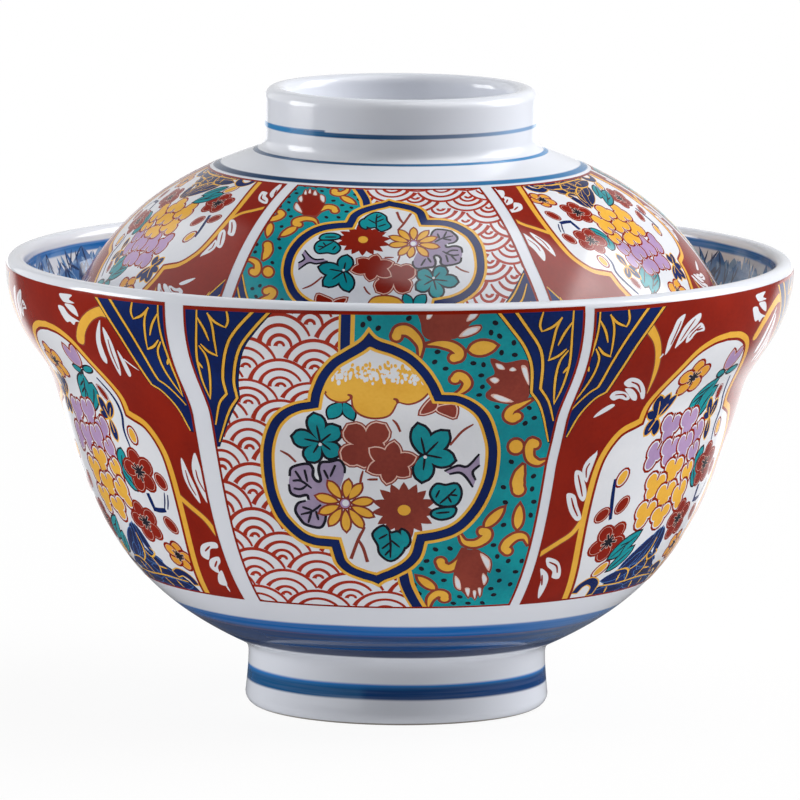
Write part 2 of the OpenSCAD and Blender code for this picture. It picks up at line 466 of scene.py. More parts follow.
# painted sheen: the blue lines are paler at their sides and towards the lit right; the grip line also runs
# thinner to the right
toward_lit_right = crown.fade(crown.x, -0.012, 0.026)
side_sheen_mask = crown.fade(crown.x * crown.x, 0.0001, 0.0006)
grip_tone_with_sheen = crown.tint(side_sheen_mask, DARK_LINE, LINE_SHEEN_PAINTED)
grip_line = crown.ring(toward_lit_right * 0.25 + 122.35, 123.35, 0.15, 0.12)
base = crown.tint(grip_line * (0.9 - toward_lit_right * 0.3 + streaks * 0.2), crown.body, grip_tone_with_sheen)
overlap = crown.ring(123.1, 123.75, 0.1, 0.05, crown.height - crown.x * 23.5 - 0.37)
overlap = overlap * crown.fade(crown.x, -0.0154, -0.0160) * crown.fade(crown.y, 0.002, -0.002)
base = crown.tint(overlap * 0.85, base, grip_tone_with_sheen)
from_axis = (crown.x * crown.x + crown.y * crown.y) ** 0.5 * 1000
foot_line = crown.ring(29.95, 30.9, 0.12, 0.1, from_axis)
base = crown.tint(foot_line * (0.9 + streaks * 0.2), base, crown.tint(toward_lit_right, DARK_LINE, LINE_SHEEN_PAINTED))
low_line_tone_with_sheen = crown.tint(toward_lit_right * 0.7, LOW_LINE, LINE_SHEEN_PAINTED)
base = crown.tint(crown.ring(113.9, 114.55, 0.1, 0.06) * (0.95 + streaks * 0.2), base, low_line_tone_with_sheen)
lid_glaze = crown.glass(base, 0.15)

lining = Glaze("lid_inside_glaze")
lid_inside_glaze = lining.glass(lining.body, 0.12)

# %% Bare clay, where a piece stands in the kiln, painted darker than its own tone as shade under the foot
clay = Recipe(bpy.data.materials.new("bare_porcelain_clay_and_painted_shade"))
(spot,) = clay.wires("ShaderNodeTexCoord", "Object")
grit = clay.noise(spot, 1800, 3)
# painted shade: both clay tones are darker than the clay's own colour, for the shadow under the foot
clay_tone_and_shade = clay.tint(grit, colour(168, 162, 154), colour(136, 130, 124))
clay.finish(clay.node("ShaderNodeBsdfPrincipled", {}, {
    "Base Color": clay_tone_and_shade, "Roughness": 0.75, "Normal": clay.bump(grit, 0.4, 0.0001)}))
print("clay:", clay.holder.name)

# %% Which face gets which finish
FOOT_BARE_Z, LID_BARE_Z = 0.6, 76.6
INSIDE_LOW_Z, INSIDE_RADIUS = 12, 81


def glazed(body, finishes, choose):
    """Gives every face of a body the finish that choose names for its middle and its normal."""
    for finish in finishes:
        body.data.materials.append(finish)
    for face in body.data.polygons:
        middle, normal = face.center / MM, face.normal
        radius = math.hypot(middle.x, middle.y)
        outward = (normal.x * middle.x + normal.y * middle.y) / max(radius, 1e-6)
        face.material_index = choose(radius, middle.z, outward)
    print(body.name, "glazed:", [finish.name for finish in finishes])


def bowl_finish(radius, z, outward):
    if z < FOOT_BARE_Z:
        return 2
    return int(z > INSIDE_LOW_Z and outward < 0.02 and radius < INSIDE_RADIUS)


def lid_finish(radius, z, outward):
    return 2 if z < LID_BARE_Z else int(outward < 0)


glazed(bowl_body, (bowl_glaze, bowl_inside_glaze, clay.holder), bowl_finish)
glazed(lid_body, (lid_glaze, lid_inside_glaze, clay.holder), lid_finish)

# %% [markdown]
# ## Places on a curved wall
# A painter thinks in distances on the wall: so far across a panel, so far down from its wide edge. Each wall
# therefore keeps a table of its section by length, and turns a flat drawing into places on the round body.
# The bowl's panels hang from the rim. The lid's panels are the same drawing turned half round, so that their
# wide edge lies along the lid's rim.

# %% Walls that carry enamel
class PaintedWall:
    """A side of a body from the wide edge of its panels, at the length first, to their narrow edge.

    Drawings run to the right where hand is 1 and to the left where it is -1."""

    def __init__(self, body, section, headings, hand, first, top, narrow_z, twist=0.0):
        self.body, self.hand, self.top, self.twist = body, hand, top, math.radians(twist)
        self.along = np.concatenate([[0], np.cumsum(np.hypot(*np.diff(section, axis=0).T))]) - first
        self.radii, self.heights = section.T
        self.outward = np.c_[headings[:, 1], -headings[:, 0]]
        order = np.argsort(self.heights)
        self.length = float(np.interp(narrow_z, self.heights[order], self.along[order]))

    def radius(self, down):
        return np.interp(down, self.along, self.radii)

    def place(self, spots, azimuth, lift):
        """Places in metres, and unit normals, of flat spots on the panel at an azimuth from the front."""
        across, down = spots.T
        radius = self.radius(down)
        nr, nz = (np.interp(down, self.along, part) for part in self.outward.T)
        angle = azimuth + self.hand * across / radius + self.twist * (1 - down / self.length)
        reach, height = radius + lift * nr, np.interp(down, self.along, self.heights) + lift * nz
        spots = np.c_[reach * np.sin(angle), -reach * np.cos(angle), height] * MM
        return spots, np.c_[nr * np.sin(angle), -nr * np.cos(angle), nz]


belly_line, belly_way = cubic(belly, 160)
flare_line, flare_way = cubic(flare, 90)
lip_turn = 40
lip_line = arc((mouth - lip_round, lip_z), lip_round, 0, lip_turn, 10)
lip_way = np.array([lean(-angle) for angle in np.linspace(0, lip_turn, 11)])
rim_to_foot = np.vstack([belly_line, flare_line[1:], lip_line[1:]])[::-1]
rim_to_foot_way = np.vstack([belly_way, flare_way[1:], lip_way[1:]])[::-1]
lip_length = lip_round * math.radians(lip_turn)
bowl_wall = PaintedWall("bowl", rim_to_foot, rim_to_foot_way,
                        hand=1, first=lip_length, top=-0.9, narrow_z=28.4)
dome_line, dome_way = cubic(dome, 160)
dome_wall = PaintedWall("lid", dome_line, dome_way, hand=-1, first=1.2, top=0.0, narrow_z=113.6, twist=1.0)
print("panels of bowl and lid:", [round(wall.length, 1) for wall in (bowl_wall, dome_wall)], "mm long")


# %% [markdown]
# ## Strokes of a brush
# Everything on a panel is a closed outline: a disc, a leaf, a tapering stroke of the brush, or a line drawn
# round one of these. Only the points that a hand would place are written down, and curves run through them.

# %% Outlines
def points(*pairs):
    return np.array(pairs, float)


def spin(spots, degrees):
    c, s = math.cos(math.radians(degrees)), math.sin(math.radians(degrees))
    return np.asarray(spots, float) @ np.array([[c, s], [-s, c]])


def curve(spots, closed=False, steps=5):
    """A smooth line through given points."""
    p = np.asarray(spots, float)
    before, after = (p[-1:], p[:2]) if closed else (2 * p[:1] - p[1:2], 2 * p[-1:] - p[-2:-1])
    p = np.vstack([before, p, after])
    t = np.linspace(0, 1, steps, endpoint=False)[:, None]
    runs = [b + t / 2 * (c - a + t * (2 * a - 5 * b + 4 * c - d + t * (3 * (b - c) + d - a)))
            for a, b, c, d in zip(p, p[1:], p[2:], p[3:])]
    return np.vstack(runs if closed else runs + [p[-2:-1]])


def stroke(spots, width, tips=(1, 1), steps=5):
    """A brush stroke along a curve. Its ends are the given shares of its width."""
    path = curve(spots, steps=steps) if len(spots) > 2 else np.linspace(spots[0], spots[1], 5)
    heading = np.gradient(path, axis=0)
    heading /= np.linalg.norm(heading, axis=1)[:, None] + 1e-9
    side = np.c_[-heading[:, 1], heading[:, 0]]
    t = np.linspace(0, 1, len(path))
    ends = tips[0] * (1 - t) + tips[1] * t
    half = (width / 2 * (ends + (1 - ends) * np.sin(np.pi * t) ** 0.7))[:, None]
    return np.vstack([path + side * half, (path - side * half)[::-1]])


def oval(centre, long, wide=None, turn=0.0, steps=14):
    angle = np.linspace(0, 2 * np.pi, steps, endpoint=False)
    return np.asarray(centre) + spin(np.c_[long * np.cos(angle), (wide or long) * np.sin(angle)], turn)


def petal(base, tip, width, full=0.55, blunt=0.8, steps=9):
    """A leaf or petal from base to tip, widest at the share full of its length."""
    base, tip = np.asarray(base, float), np.asarray(tip, float)
    t = np.linspace(0, 1, steps + 1)[:, None]
    half = width / 2 * np.sin(np.pi * t ** (math.log(0.5) / math.log(full))) ** blunt
    way = (tip - base) / np.linalg.norm(tip - base)
    side = np.array([-way[1], way[0]])
    spine = base + t * (tip - base)
    return np.vstack([spine + side * half, (spine - side * half)[-2:0:-1]])


def grow(ring, reach):
    """The outline moved out by reach, or in where it is negative, without points that land too near it."""
    p = np.asarray(ring, float)
    area = np.sum(p[:, 0] * np.roll(p[:, 1], -1) - np.roll(p[:, 0], -1) * p[:, 1])
    p = p if area > 0 else p[::-1]
    ahead = np.roll(p, -1, 0) - p
    ahead /= np.linalg.norm(ahead, axis=1)[:, None] + 1e-9
    out = np.c_[ahead[:, 1], -ahead[:, 0]]
    before = np.roll(out, 1, 0)
    moved = p + reach * (out + before) / np.maximum(1 + np.sum(out * before, 1), 0.45)[:, None]
    side = np.roll(p, -1, 0) - p
    way = moved[:, None] - p[None]
    share = np.clip((way * side).sum(2) / ((side * side).sum(1) + 1e-12), 0, 1)
    gap = np.linalg.norm(way - share[:, :, None] * side, axis=2).min(1)
    kept = moved[gap > 0.96 * abs(reach)]
    return kept if len(kept) > 2 else moved


def fine(ring, step):
    """The ring with points added, so that no side of it is longer than step."""
    sides = np.roll(ring, -1, 0) - ring
    counts = np.maximum(1, np.ceil(np.hypot(*sides.T) / step)).astype(int)
    runs = [start + side * np.linspace(0, 1, count, endpoint=False)[:, None]
            for start, side, count in zip(ring, sides, counts)]
    return np.vstack(runs)


def mirrored_ring(half):
    """A closed ring from its right half, drawn from top to bottom."""
    return np.vstack([half, half[::-1] * (-1, 1)])


def inside_ring(spots, ring):
    """Which spots lie inside a ring, counted by how often the ring winds round them."""
    x, y = spots[:, :1], spots[:, 1:]
    x0, y0 = ring.T
    x1, y1 = np.roll(ring, -1, 0).T
    side = (x1 - x0) * (y - y0) - (x - x0) * (y1 - y0)
    up = (y0 <= y) & (y1 > y) & (side > 0)
    down = (y0 > y) & (y1 <= y) & (side < 0)
    return up.sum(1) != down.sum(1)


print("a test stroke has", len(stroke(points((0, 0), (1, 1), (2, 0)), 0.4)), "points")

# %% [markdown]
# ## Enamels
# The colours are ground glass, brushed on over the fired glaze and fired again at a lower heat. Each is a
# little glossy, a little uneven and, where the coat is thin, lighter. One recipe makes them all: two tones
# mixed by a soft cloud and by fine brush grain, with gloss that follows the coat.

# %% Enamel recipes
def enamel(name, thin, thick, gloss=0.16):
    pot = Recipe(bpy.data.materials.new(name))
    (place,) = pot.wires("ShaderNodeTexCoord", "Object")
    cloud, grain = pot.noise(place, 95), pot.noise(place, 1300)
    coat = pot.fade(cloud * 0.7 + grain * 0.3, 0.30, 0.68)
    tone = pot.tint(coat, colour(*thin), colour(*thick))
    skin = pot.bump(cloud * 2 + grain * 0.2, 0.10, 0.0001)
    pot.finish(pot.node("ShaderNodeBsdfPrincipled", {}, {
        "Base Color": tone, "Roughness": gloss + (grain - 0.5) * 0.10, "Normal": skin, "IOR": 1.5}))
    return pot.holder


ENAMELS = {
    "white": enamel("bare_white_glaze", (233, 234, 239), (227, 229, 235), 0.12),
    "red": enamel("iron_red_enamel", (150, 29, 5), (135, 23, 3)),
    "brick": enamel("thin_iron_red_enamel", (178, 50, 30), (162, 40, 22)),
    "dark_red": enamel("deep_red_enamel", (152, 64, 50), (132, 52, 42)),
    "blush": enamel("thin_red_enamel", (238, 204, 192), (226, 182, 168)),
    "navy": enamel("navy_enamel", (4, 38, 106), (2, 27, 86)),
    "gold": enamel("ochre_yellow_enamel", (244, 188, 72), (234, 172, 56)),
    "orange": enamel("amber_enamel", (240, 174, 58), (228, 154, 46)),
    "teal": enamel("green_enamel", (8, 158, 166), (3, 135, 147)),
    "lilac": enamel("lilac_enamel", (188, 156, 198), (170, 140, 184)),
    "mauve": enamel("grey_purple_enamel", (172, 155, 184), (152, 137, 168)),
    "ink": enamel("dark_line_enamel", (34, 32, 46), (22, 22, 34)),
    "pale_blue": enamel("watered_underglaze_blue", (150, 180, 214), (112, 148, 194), 0.08),
    "mid_blue": enamel("underglaze_blue", (86, 132, 188), (52, 100, 164), 0.08),
    "dark_blue": enamel("strong_underglaze_blue", (44, 66, 112), (28, 48, 94), 0.08),
}
print("enamels:", ", ".join(ENAMELS))


# %% [markdown]
# ## Laying and firing a panel
# A panel is laid flat, coat upon coat, as paper cut-outs are. To fire it, all outlines are cut into one net
# of triangles, each triangle takes the colour of the topmost coat over it, and the net is bent on to the
# wall as a skin less than a tenth of a millimetre thick. Cutting a net along hundreds of crossing outlines
# is more than hand modelling can do, so this piece is built in code: the edges stay sharp at any distance,
# and no picture is needed.

# %% A panel of enamel
SKIN_TOP, SKIN_UNDER, NET_STEP = -0.004, -0.09, 1.7
HALF_GAP, SIDE_LINE, TOP_LINE = 1.25, 0.55, 0.75


class EnamelPanel:
    """Coats of enamel in the order they are laid, inside a line of the edging colour."""

    edging = "red"

    def __init__(self, wall, ground, hang=(0, 0, 0), slant=(0, 0)):
        self.wall, self.coats, self.net, self.hang, self.slant = wall, [], None, hang, slant
        self.edge = self.border(0, 0)
        self.field = self.border(SIDE_LINE, TOP_LINE)
        if ground:
            self.lay(ground, self.field)

    def border(self, inset, top):
        """The outline. Its wide edge hangs lower by three amounts, and its sides slant at the top."""
        left, middle, right = (self.wall.top + top + low for low in self.hang)
        sides = []
        for way, start, slant in ((-1, left, self.slant[0]), (1, right, self.slant[1])):
            down = np.linspace(start, self.wall.length - inset, 40)
            across = way * (self.wall.radius(down) * math.pi / 6 - HALF_GAP - inset)
            across += slant * np.clip(1 - (2 * down / self.wall.length) ** 2, 0, 1)
            sides.append(np.c_[across, down])
        t = np.linspace(-1, 1, 41)[1:-1]
        bow = middle + (right - left) / 2 * t + ((left + right) / 2 - middle) * t * t
        across = np.interp(t, (-1, 1), (sides[0][0, 0], sides[1][0, 0]))
        return np.vstack([sides[0][::-1], np.c_[across, bow], sides[1]])

    def lay(self, tone, ring, within=None):
        self.coats.append((tone, np.asarray(ring, float), self.field if within is None else within))

    def lined(self, fill, rings, line, width, within, gap, under="white"):
        """Shapes of one colour with a line drawn round all of them, and a paler gap inside the line."""
        for ring in rings:
            self.lay(line, grow(ring, width + gap), within)
        if gap:
            for ring in rings:
                self.lay(under, grow(ring, gap), within)
        for ring in rings:
            self.lay(fill, ring, within)

    def cut(self):
        """Cuts all outlines into triangles, and picks the topmost coat for each."""
        rings = {id(ring): ring for _, ring, _ in self.coats}
        rings.update({id(within): within for _, _, within in self.coats})
        rings[id(self.edge)] = self.edge
        low, high = self.edge.min(0), self.edge.max(0)
        spots, edges = [], []
        for ring in rings.values():
            ring = fine(np.clip(ring, low - 1, high + 1), NET_STEP * 0.8)
            first, count = len(spots), len(ring)
            spots.extend(ring)
            edges.extend((first + i, first + (i + 1) % count) for i in range(count))
        rows = np.r_[np.arange(low[1], 0.4, 0.2), np.arange(0.8, high[1], NET_STEP * 0.87)]
        columns = np.arange(low[0], high[0], NET_STEP)
        spots.extend((x + (j % 2) * NET_STEP / 2, y) for j, y in enumerate(rows) for x in columns)
        net, _, faces, *_ = delaunay_2d_cdt([Vector(s) for s in spots], edges, [], 0, 1e-4, False)
        net, faces = np.array(net), np.array(faces)
        middle = net[faces].mean(1)
        keep = inside_ring(middle, self.edge)
        faces, middle = faces[keep], middle[keep]
        names = list(ENAMELS)
        tone = np.full(len(faces), names.index(self.edging) if self.edging else -1)
        field = inside_ring(middle, self.field)
        clips = {}
        for name, ring, within in self.coats:
            if id(within) not in clips:
                clips[id(within)] = field & inside_ring(middle, within)
            low, high = ring.min(0), ring.max(0)
            near = np.flatnonzero(((middle >= low) & (middle <= high)).all(1) & clips[id(within)])
            if len(near):
                tone[near[inside_ring(middle[near], ring)]] = names.index(name)
        used, faces = np.unique(faces[tone >= 0], return_inverse=True)
        self.net = net[used], faces.reshape(-1, 3), tone[tone >= 0]

    def fire(self, name, azimuth, lift=SKIN_TOP):
        """Bends the net on to the wall as a closed skin, one mesh for each panel."""
        if self.net is None:
            self.cut()
        spots, faces, tone = self.net
        count = len(spots)
        top, normal = self.wall.place(spots, azimuth, lift)
        under, _ = self.wall.place(spots, azimuth, SKIN_UNDER)
        outer = faces[:, ::-1]
        pairs = np.vstack([outer[:, [0, 1]], outer[:, [1, 2]], outer[:, [2, 0]]])
        key = np.sort(pairs, 1) @ (count, 1)
        _, where, times = np.unique(key, return_index=True, return_counts=True)
        rim = pairs[where[times == 1]]
        sides = np.c_[rim[:, 1], rim[:, 0], rim[:, 0] + count, rim[:, 1] + count]
        mesh = bpy.data.meshes.new(name)
        mesh.from_pydata(np.vstack([top, under]).tolist(), [],
                         outer.tolist() + (faces + count).tolist() + sides.tolist())
        hem_tone = list(ENAMELS).index(self.edging) if self.edging else int(tone[0])
        tones = sorted(set(tone.tolist()) | {hem_tone})
        for index in tones:
            mesh.materials.append(list(ENAMELS.values())[index])
        picked = np.searchsorted(tones, np.concatenate([tone, tone, np.full(len(sides), hem_tone)]))
        mesh.polygons.foreach_set("material_index", picked.astype(np.int32))
        # On the bake square the front lies on top, the back in a strip at the foot, and the hem between them
        low, high = spots.min(0), spots.max(0)
        flat = (spots - low) / (high - low)
        front = flat[outer.ravel()] * (0.96, 0.84) + (0.02, 0.14)
        back = flat[faces.ravel()] * (0.96, 0.08) + (0.02, 0.01)
        across = np.arange(len(sides))[:, None] / len(sides)
        wide = 0.9 / len(sides)
        hem = np.stack([np.hstack([across, across + wide, across + wide, across]),
                        np.tile([0.105, 0.105, 0.125, 0.125], (len(sides), 1))], 2).reshape(-1, 2)
        mesh.uv_layers.new(name="OFBake").data.foreach_set("uv", np.vstack([front, back, hem]).ravel())
        mesh.shade_smooth()
        mesh.normals_split_custom_set_from_vertices(np.vstack([normal, -normal]).tolist())
        mesh.validate()
        panel = bpy.data.objects.new(name, mesh)
        bpy.context.scene.collection.objects.link(panel)
        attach(panel, self.wall.body)
        self.wall.body + "_porcelain"
        print(name, len(outer) * 2 + len(sides) * 2, "triangles")


# %% [markdown]
# ## One drawing for two walls
# The lid carries the bowl's drawing turned half round and made smaller. A fit holds how much narrower,
# lower and finer the drawing is on a wall, and which colours change. A brush draws with a fit inside one
# outline of a panel, so each shape is written down once, at the size it has on the bowl.

# %% Fits and brushes
class Fit:
    """Fits the drawing, which is made for the bowl, to another wall."""

    def __init__(self, across=1, down=1, size=1, shift=(0, 0), bloom="dark_red", floret=1.06, gap=0.28,
                 fan=(0, 1), leaf_line="mid_blue"):
        self.scale, self.size, self.shift = np.array([across, down]), size, shift
        self.bloom, self.floret, self.gap, self.fan, self.leaf_line = bloom, floret, gap, fan, leaf_line

    def __call__(self, *pairs):
        return points(*pairs) * self.scale + self.shift

    def spot(self, x, y):
        return self((x, y))[0]


class Brush:
    """Draws on a panel inside one outline. Widths are given as they are on the bowl."""

    def __init__(self, panel, fit, within=None):
        self.panel, self.fit, self.within = panel, fit, within

    def lay(self, tone, ring):
        self.panel.lay(tone, ring, self.within)

    def lined(self, fill, rings, line, width, gap=0, under="white"):
        size = self.fit.size
        self.panel.lined(fill, rings, line, width * size, self.within, gap * size, under)

    def lines(self, paths, width, tone="ink", tips=(0.6, 0.6)):
        """Single strokes."""
        for path in paths:
            self.lay(tone, stroke(self.fit(*path), width * self.fit.size, tips, 4))

    def shapes(self, rings, steps=4):
        """Smooth outlines through given points."""
        return [curve(self.fit(*ring), True, steps) for ring in rings]

    def petals(self, rows, full=0.55, blunt=0.8):
        """An outline for each row: where a petal starts, where it ends, and its width."""
        return [petal(*self.fit(row[:2], row[2:4]), row[4] * self.fit.size, full, blunt) for row in rows]

    def ovals(self, rows, steps=14):
        """An outline for each row: the middle of an oval, half its length and width, and its turn."""
        size = self.fit.size
        return [oval(self.fit.spot(x, y), long * size, wide * size, turn, steps)
                for x, y, long, wide, turn in rows]


BOWL_FIT = Fit()
LID_WAVE_FIT = Fit(0.86, 0.67, 0.76, bloom="red")
LID_PEONY_FIT, LID_LEFT_PEONY_FIT = [
    Fit(0.83, 0.67, 0.76, (aside, 0.6), bloom="red", floret=1.2, gap=0.06, fan=(4.2, 0.9), leaf_line="gold")
    for aside in (-1.3, 1.3)]
WAVE_HANG, PEONY_HANG = np.array([1.0, 0.3, 0.1]), np.array([0.7, 0.7, 0.7])
WAVE_SLANT = {"bowl": (0, 1.8), "lid": (-1.0, 0)}
PEONY_SLANT = {"bowl": (1.8, 0), "lid": (0, -1.0)}
print("the lid's drawing is", LID_WAVE_FIT.scale[1], "of the bowl's in height")


# %% [markdown]
# ## The corner fans
# Both kinds of panel have a dark blue fan in each upper corner: a fill edged by two yellow lines that break
# at a knee, with a sprig of leaves drawn in yellow inside it.

# %% Corner fans
SPRIG = (
    ((40.2, -0.8), (40, 4.5), (39.9, 8.5), (39.6, 12), (38.3, 17.5), (36.6, 22)),
    ((39.9, 2.4), (38.2, 4.7), (36.9, 7.2)),
    ((37.6, 1.2), (36.4, 3.7), (35.7, 7), (35, 10.4)),
    ((34.8, 10.5), (37, 9.6), (38.9, 8)),
    ((37.7, 1.3), (35.8, 3), (33.4, 4)),
    ((33.3, 4.1), (32.8, 2.5), (33.5, -0.3)),
    ((39.3, 8.4), (37.5, 10.8), (36.7, 14.6), (36.5, 19), (36.6, 22.2)),
    ((39.6, 12.1), (38.3, 13.8)))


def corner_fan(brush, side, outer, inner, edge=None, shift=0):
    """A fan in the left (-1) or right (1) corner. Its lines turn at their fifth point, the knee."""
    fit, flip = brush.fit, np.array([side, 1])
    out, short = fit.fan
    lines = []
    for spots in (outer, inner, edge or outer):
        spots = (points(*spots) + (out, 0)) * (1, short) * flip
        lines.append(np.vstack([curve(fit(*spots[:5]))[:-1], curve(fit(*spots[4:]))]))
    rim = lines[2]
    fan = np.vstack([rim, fit(*points((60, 34), (60, -6)) * flip), rim[:1] - (0, 4)])
    brush.lay("ink", grow(fan, 0.18 * fit.size))
    brush.lay("navy", fan)
    for line in lines[:2]:
        for tone, width in (("ink", 1.05), ("gold", 0.62)):
            brush.lay(tone, stroke(line, width * fit.size, (1, 0.5), 1))
    leaves = [fit(*(((x + shift * (1 - y / 26)) * side, y) for x, y in leaf)) for leaf in SPRIG]
    for tone, width in (("ink", 0.95), ("gold", 0.52)):
        for leaf in leaves:
            brush.lay(tone, stroke(leaf, width * fit.size, (0.55, 0.35)))


print("corner fan: a sprig of", len(SPRIG), "strokes")


# %% [markdown]
# ## The wave and scroll panel
# Its left half is a sea of red scale-shaped waves, and its right half a green ground with yellow scrolls,
# red buds and small dark dots. A pointed window with four lobes lies across both, with a bunch of garden
# flowers under a golden cloud. The waves follow a rule, so a loop lays them with a fixed seed, and almost
# everything else is listed one by one.

# %% Waves
SCALE_REACH, SCALE_STEP, SCALE_RISE = 6.9, 14, 5.1
SCALE_ARCS = (1, 0.67, 0.36, 0.13)


def wave_scales(panel, fit, area, seed):
    """Rows of wave scales. Each arc is drawn only where no nearer scale covers it, as a painter does it."""
    hand = random.Random(seed)
    reach = SCALE_REACH * fit.size
    scales = []
    for row in range(int(78 * fit.scale[1] / (SCALE_RISE * fit.size)) + 1):
        for column in range(-4, 3):
            aside = SCALE_STEP * (column - row % 2 / 2) + hand.uniform(-0.5, 0.5)
            below = SCALE_RISE * row + hand.uniform(-0.35, 0.35)
            x, y = fit.scale * (-13.3, 2.3) + np.array([aside, below]) * fit.size
            scales.append((row, x, y, reach * hand.uniform(0.95, 1.05)))
    angle = np.radians(np.linspace(178, 362, 25))
    for row, x, y, wide in scales:
        nearer = [s for s in scales
                  if s[0] > row and abs(s[1] - x) < 2.2 * reach and s[2] - y < 2.4 * reach]
        for share in SCALE_ARCS:
            line = np.c_[x + share * wide * np.cos(angle), y + share * wide * np.sin(angle)]
            seen = np.ones(len(line), bool)
            for s in nearer:
                seen &= np.hypot(line[:, 0] - s[1], line[:, 1] - s[2]) > s[3] * 1.02
            starts = np.flatnonzero(seen & ~np.r_[False, seen[:-1]])
            ends = np.flatnonzero(seen & ~np.r_[seen[1:], False])
            for first, last in zip(starts, ends):
                run = line[first:last + 1]
                if last - first >= 2 and inside_ring(run, area).any():
                    width = hand.uniform(0.66, 0.80) * fit.size ** 0.5
                    panel.lay("brick", stroke(run, width, (1.5, 0.65), 1), area)


print("waves: scales of", len(SCALE_ARCS), "arcs")

# %% Scrolls and buds
SCROLLS = (
    (1.9, (8.6, 8.8), (8.7, 6.4), (7.6, 4.5), (6, 3.3), (4.4, 3.4), (3.9, 4.5)),
    (1.9, (10.2, 6.3), (12.4, 6.1), (14.9, 6.6), (16.5, 7.8), (16.5, 9), (15.6, 9.3)),
    (1.8, (15.4, 18.9), (17.3, 17.4), (18.2, 15.7), (17.6, 14.2), (16.4, 13.5), (15.7, 14.5)),
    (1.9, (31.6, 20.6), (29.6, 21.7), (27.4, 23), (26.7, 24.6), (27.6, 25.4), (28.5, 24.9)),
    (1.9, (34.8, 35.2), (33.2, 35.6), (31.5, 34.5), (31.2, 32.4), (31.8, 31), (32.5, 31.3)),
    (2.5, (29.9, 36), (29.3, 37.4), (28.8, 39), (28.7, 40.4), (28.9, 41.5)),
    (1.8, (16.3, 51.6), (17.3, 53.5), (19.6, 53.9), (21.7, 52.6), (22, 51.2), (21.1, 51)),
    (1.8, (31, 54.5), (30.3, 52.8), (28.6, 52.5), (26.8, 53.6), (25.8, 55.2), (26.4, 56)),
    (1.8, (17, 55.4), (16, 58.2), (14.1, 59.9), (12.6, 59.4), (12.2, 58.2)),
    (1.8, (9.3, 71.4), (9.9, 68.6), (11.3, 67), (12.7, 67.4), (12.8, 68.6)))
SCROLL_LEAVES = ((18.6, 7.6, 24.4, 6.7, 3), (21.6, 49.9, 25.6, 45.6, 1.9), (28.6, 50.7, 29.2, 45.1, 1.9),
                 (10.9, 65.7, 7.4, 62.1, 1.8))
SCROLL_BERRY = (28.3, 31.7, 1.5, 1.5, 0)
DOTS = (
    (-2.9, 2.2), (0.2, 2.9), (6.4, 0.8), (12.2, 7.9), (11.6, 10.2), (13.8, 11.8), (19.5, 10.6),
    (21.6, 11), (21.1, 13.6), (21.3, 16.6), (20.6, 18.8), (24.1, 1.9), (23.2, 3.9), (25, 4.7),
    (28, 6.2), (25.4, 8.3), (28.2, 8.9), (24.3, 22.2), (31.2, 22.8), (32.3, 25.4), (30.3, 26.6),
    (27.3, 35.1), (32.2, 38.6), (25.6, 40.8), (31.9, 41.5), (26, 44.3), (32.3, 44.5), (25.6, 49.6),
    (11.2, 55.1), (14.2, 54.9), (23.4, 54.4), (9.3, 58), (8.2, 60), (10.5, 61.1), (24.2, 57.3),
    (26.6, 58.6), (24.4, 61), (12.8, 63.2), (24.6, 63.8), (22.7, 66), (23.3, 67.9), (6.6, 64.3),
    (7.6, 66.9), (16, 68.1), (14.6, 70.1), (17.7, 70.2), (20.8, 70.3), (29.6, 58.8), (28.2, 61.6),
    (27, 65), (-1.6, 0.9), (35.2, 39.6), (34.2, 49), (31.6, 47.6), (9.6, 1.4))
BUDS = (
    (((9.2, -2), (9.1, 2), (9.6, 4.3), (11.4, 5.2), (14.1, 4.9), (16.3, 4.6), (18.5, 2.1), (21, -2)),
     ((16.1, 4.8), (18.2, 2.8), (21.3, 2.3), (20.7, 3.6), (18.2, 4.7)),
     ((17.8, 1.7), (19, -0.4), (21, -0.8), (19.9, 1)),
     ((9.8, 1.1), (10.2, -0.6), (11.5, -0.8), (10.9, 0.9))),
    (((23.3, 9.8), (26.2, 10.9), (30.6, 10.4), (31.4, 13.9), (30.9, 19.6), (27.9, 21.4), (23, 20.2),
      (22.2, 18.5), (23.4, 16.8), (22.3, 14.8), (24.2, 13.2)),
     ((23.9, 10.6), (25.5, 11), (26.3, 12.4), (24.6, 12.2)),
     ((26.8, 12.5), (27.7, 11.6), (28.7, 12.5), (27.7, 12.9)),
     ((29.4, 11.1), (30.9, 11.8), (31.4, 17.3), (29.9, 13.8)),
     ((22.6, 14.6), (24, 14), (25.1, 15), (23.9, 16)),
     ((22.6, 18.9), (24.2, 18.5), (28.4, 21.1), (25.1, 21))),
    (((16.7, 55.9), (18.5, 55.6), (20.4, 55.9), (21.8, 59.5), (21.2, 64.7), (20, 67.4), (18.7, 68.2),
      (17.2, 67.2), (16.2, 65.3), (15.1, 61.4)),
     ((20.3, 55.8), (22.8, 58.1), (22.5, 61.5), (21.2, 59.1)),
     ((21.1, 61.2), (22.1, 63.2), (21.2, 65.3), (20.7, 62.7)),
     ((15, 61.6), (15.1, 65.2), (16.4, 66.4), (16.2, 63.3)),
     ((17, 65.5), (17.8, 68.6), (18.3, 65.6)),
     ((18.7, 66.4), (19.2, 69.4), (19.6, 66.4)),
     ((19.8, 65.6), (20.3, 68.6), (20.7, 65.7))))


def scroll(fit, path, wide):
    """A yellow scroll: a thin tail that swells and ends in a round curl."""
    line = curve(fit(*path))
    heading = np.gradient(line, axis=0)
    heading /= np.linalg.norm(heading, axis=1)[:, None]
    t = np.linspace(0, 1, len(line))
    half = (wide / 2 * fit.size * np.interp(t, (0, 0.3, 0.65, 1), (0.1, 0.75, 1.0, 0.85)))[:, None]
    side = np.c_[-heading[:, 1], heading[:, 0]] * half
    return [np.vstack([line + side, (line - side)[::-1]]), oval(line[-1], 0.5 * wide * fit.size, steps=12)]


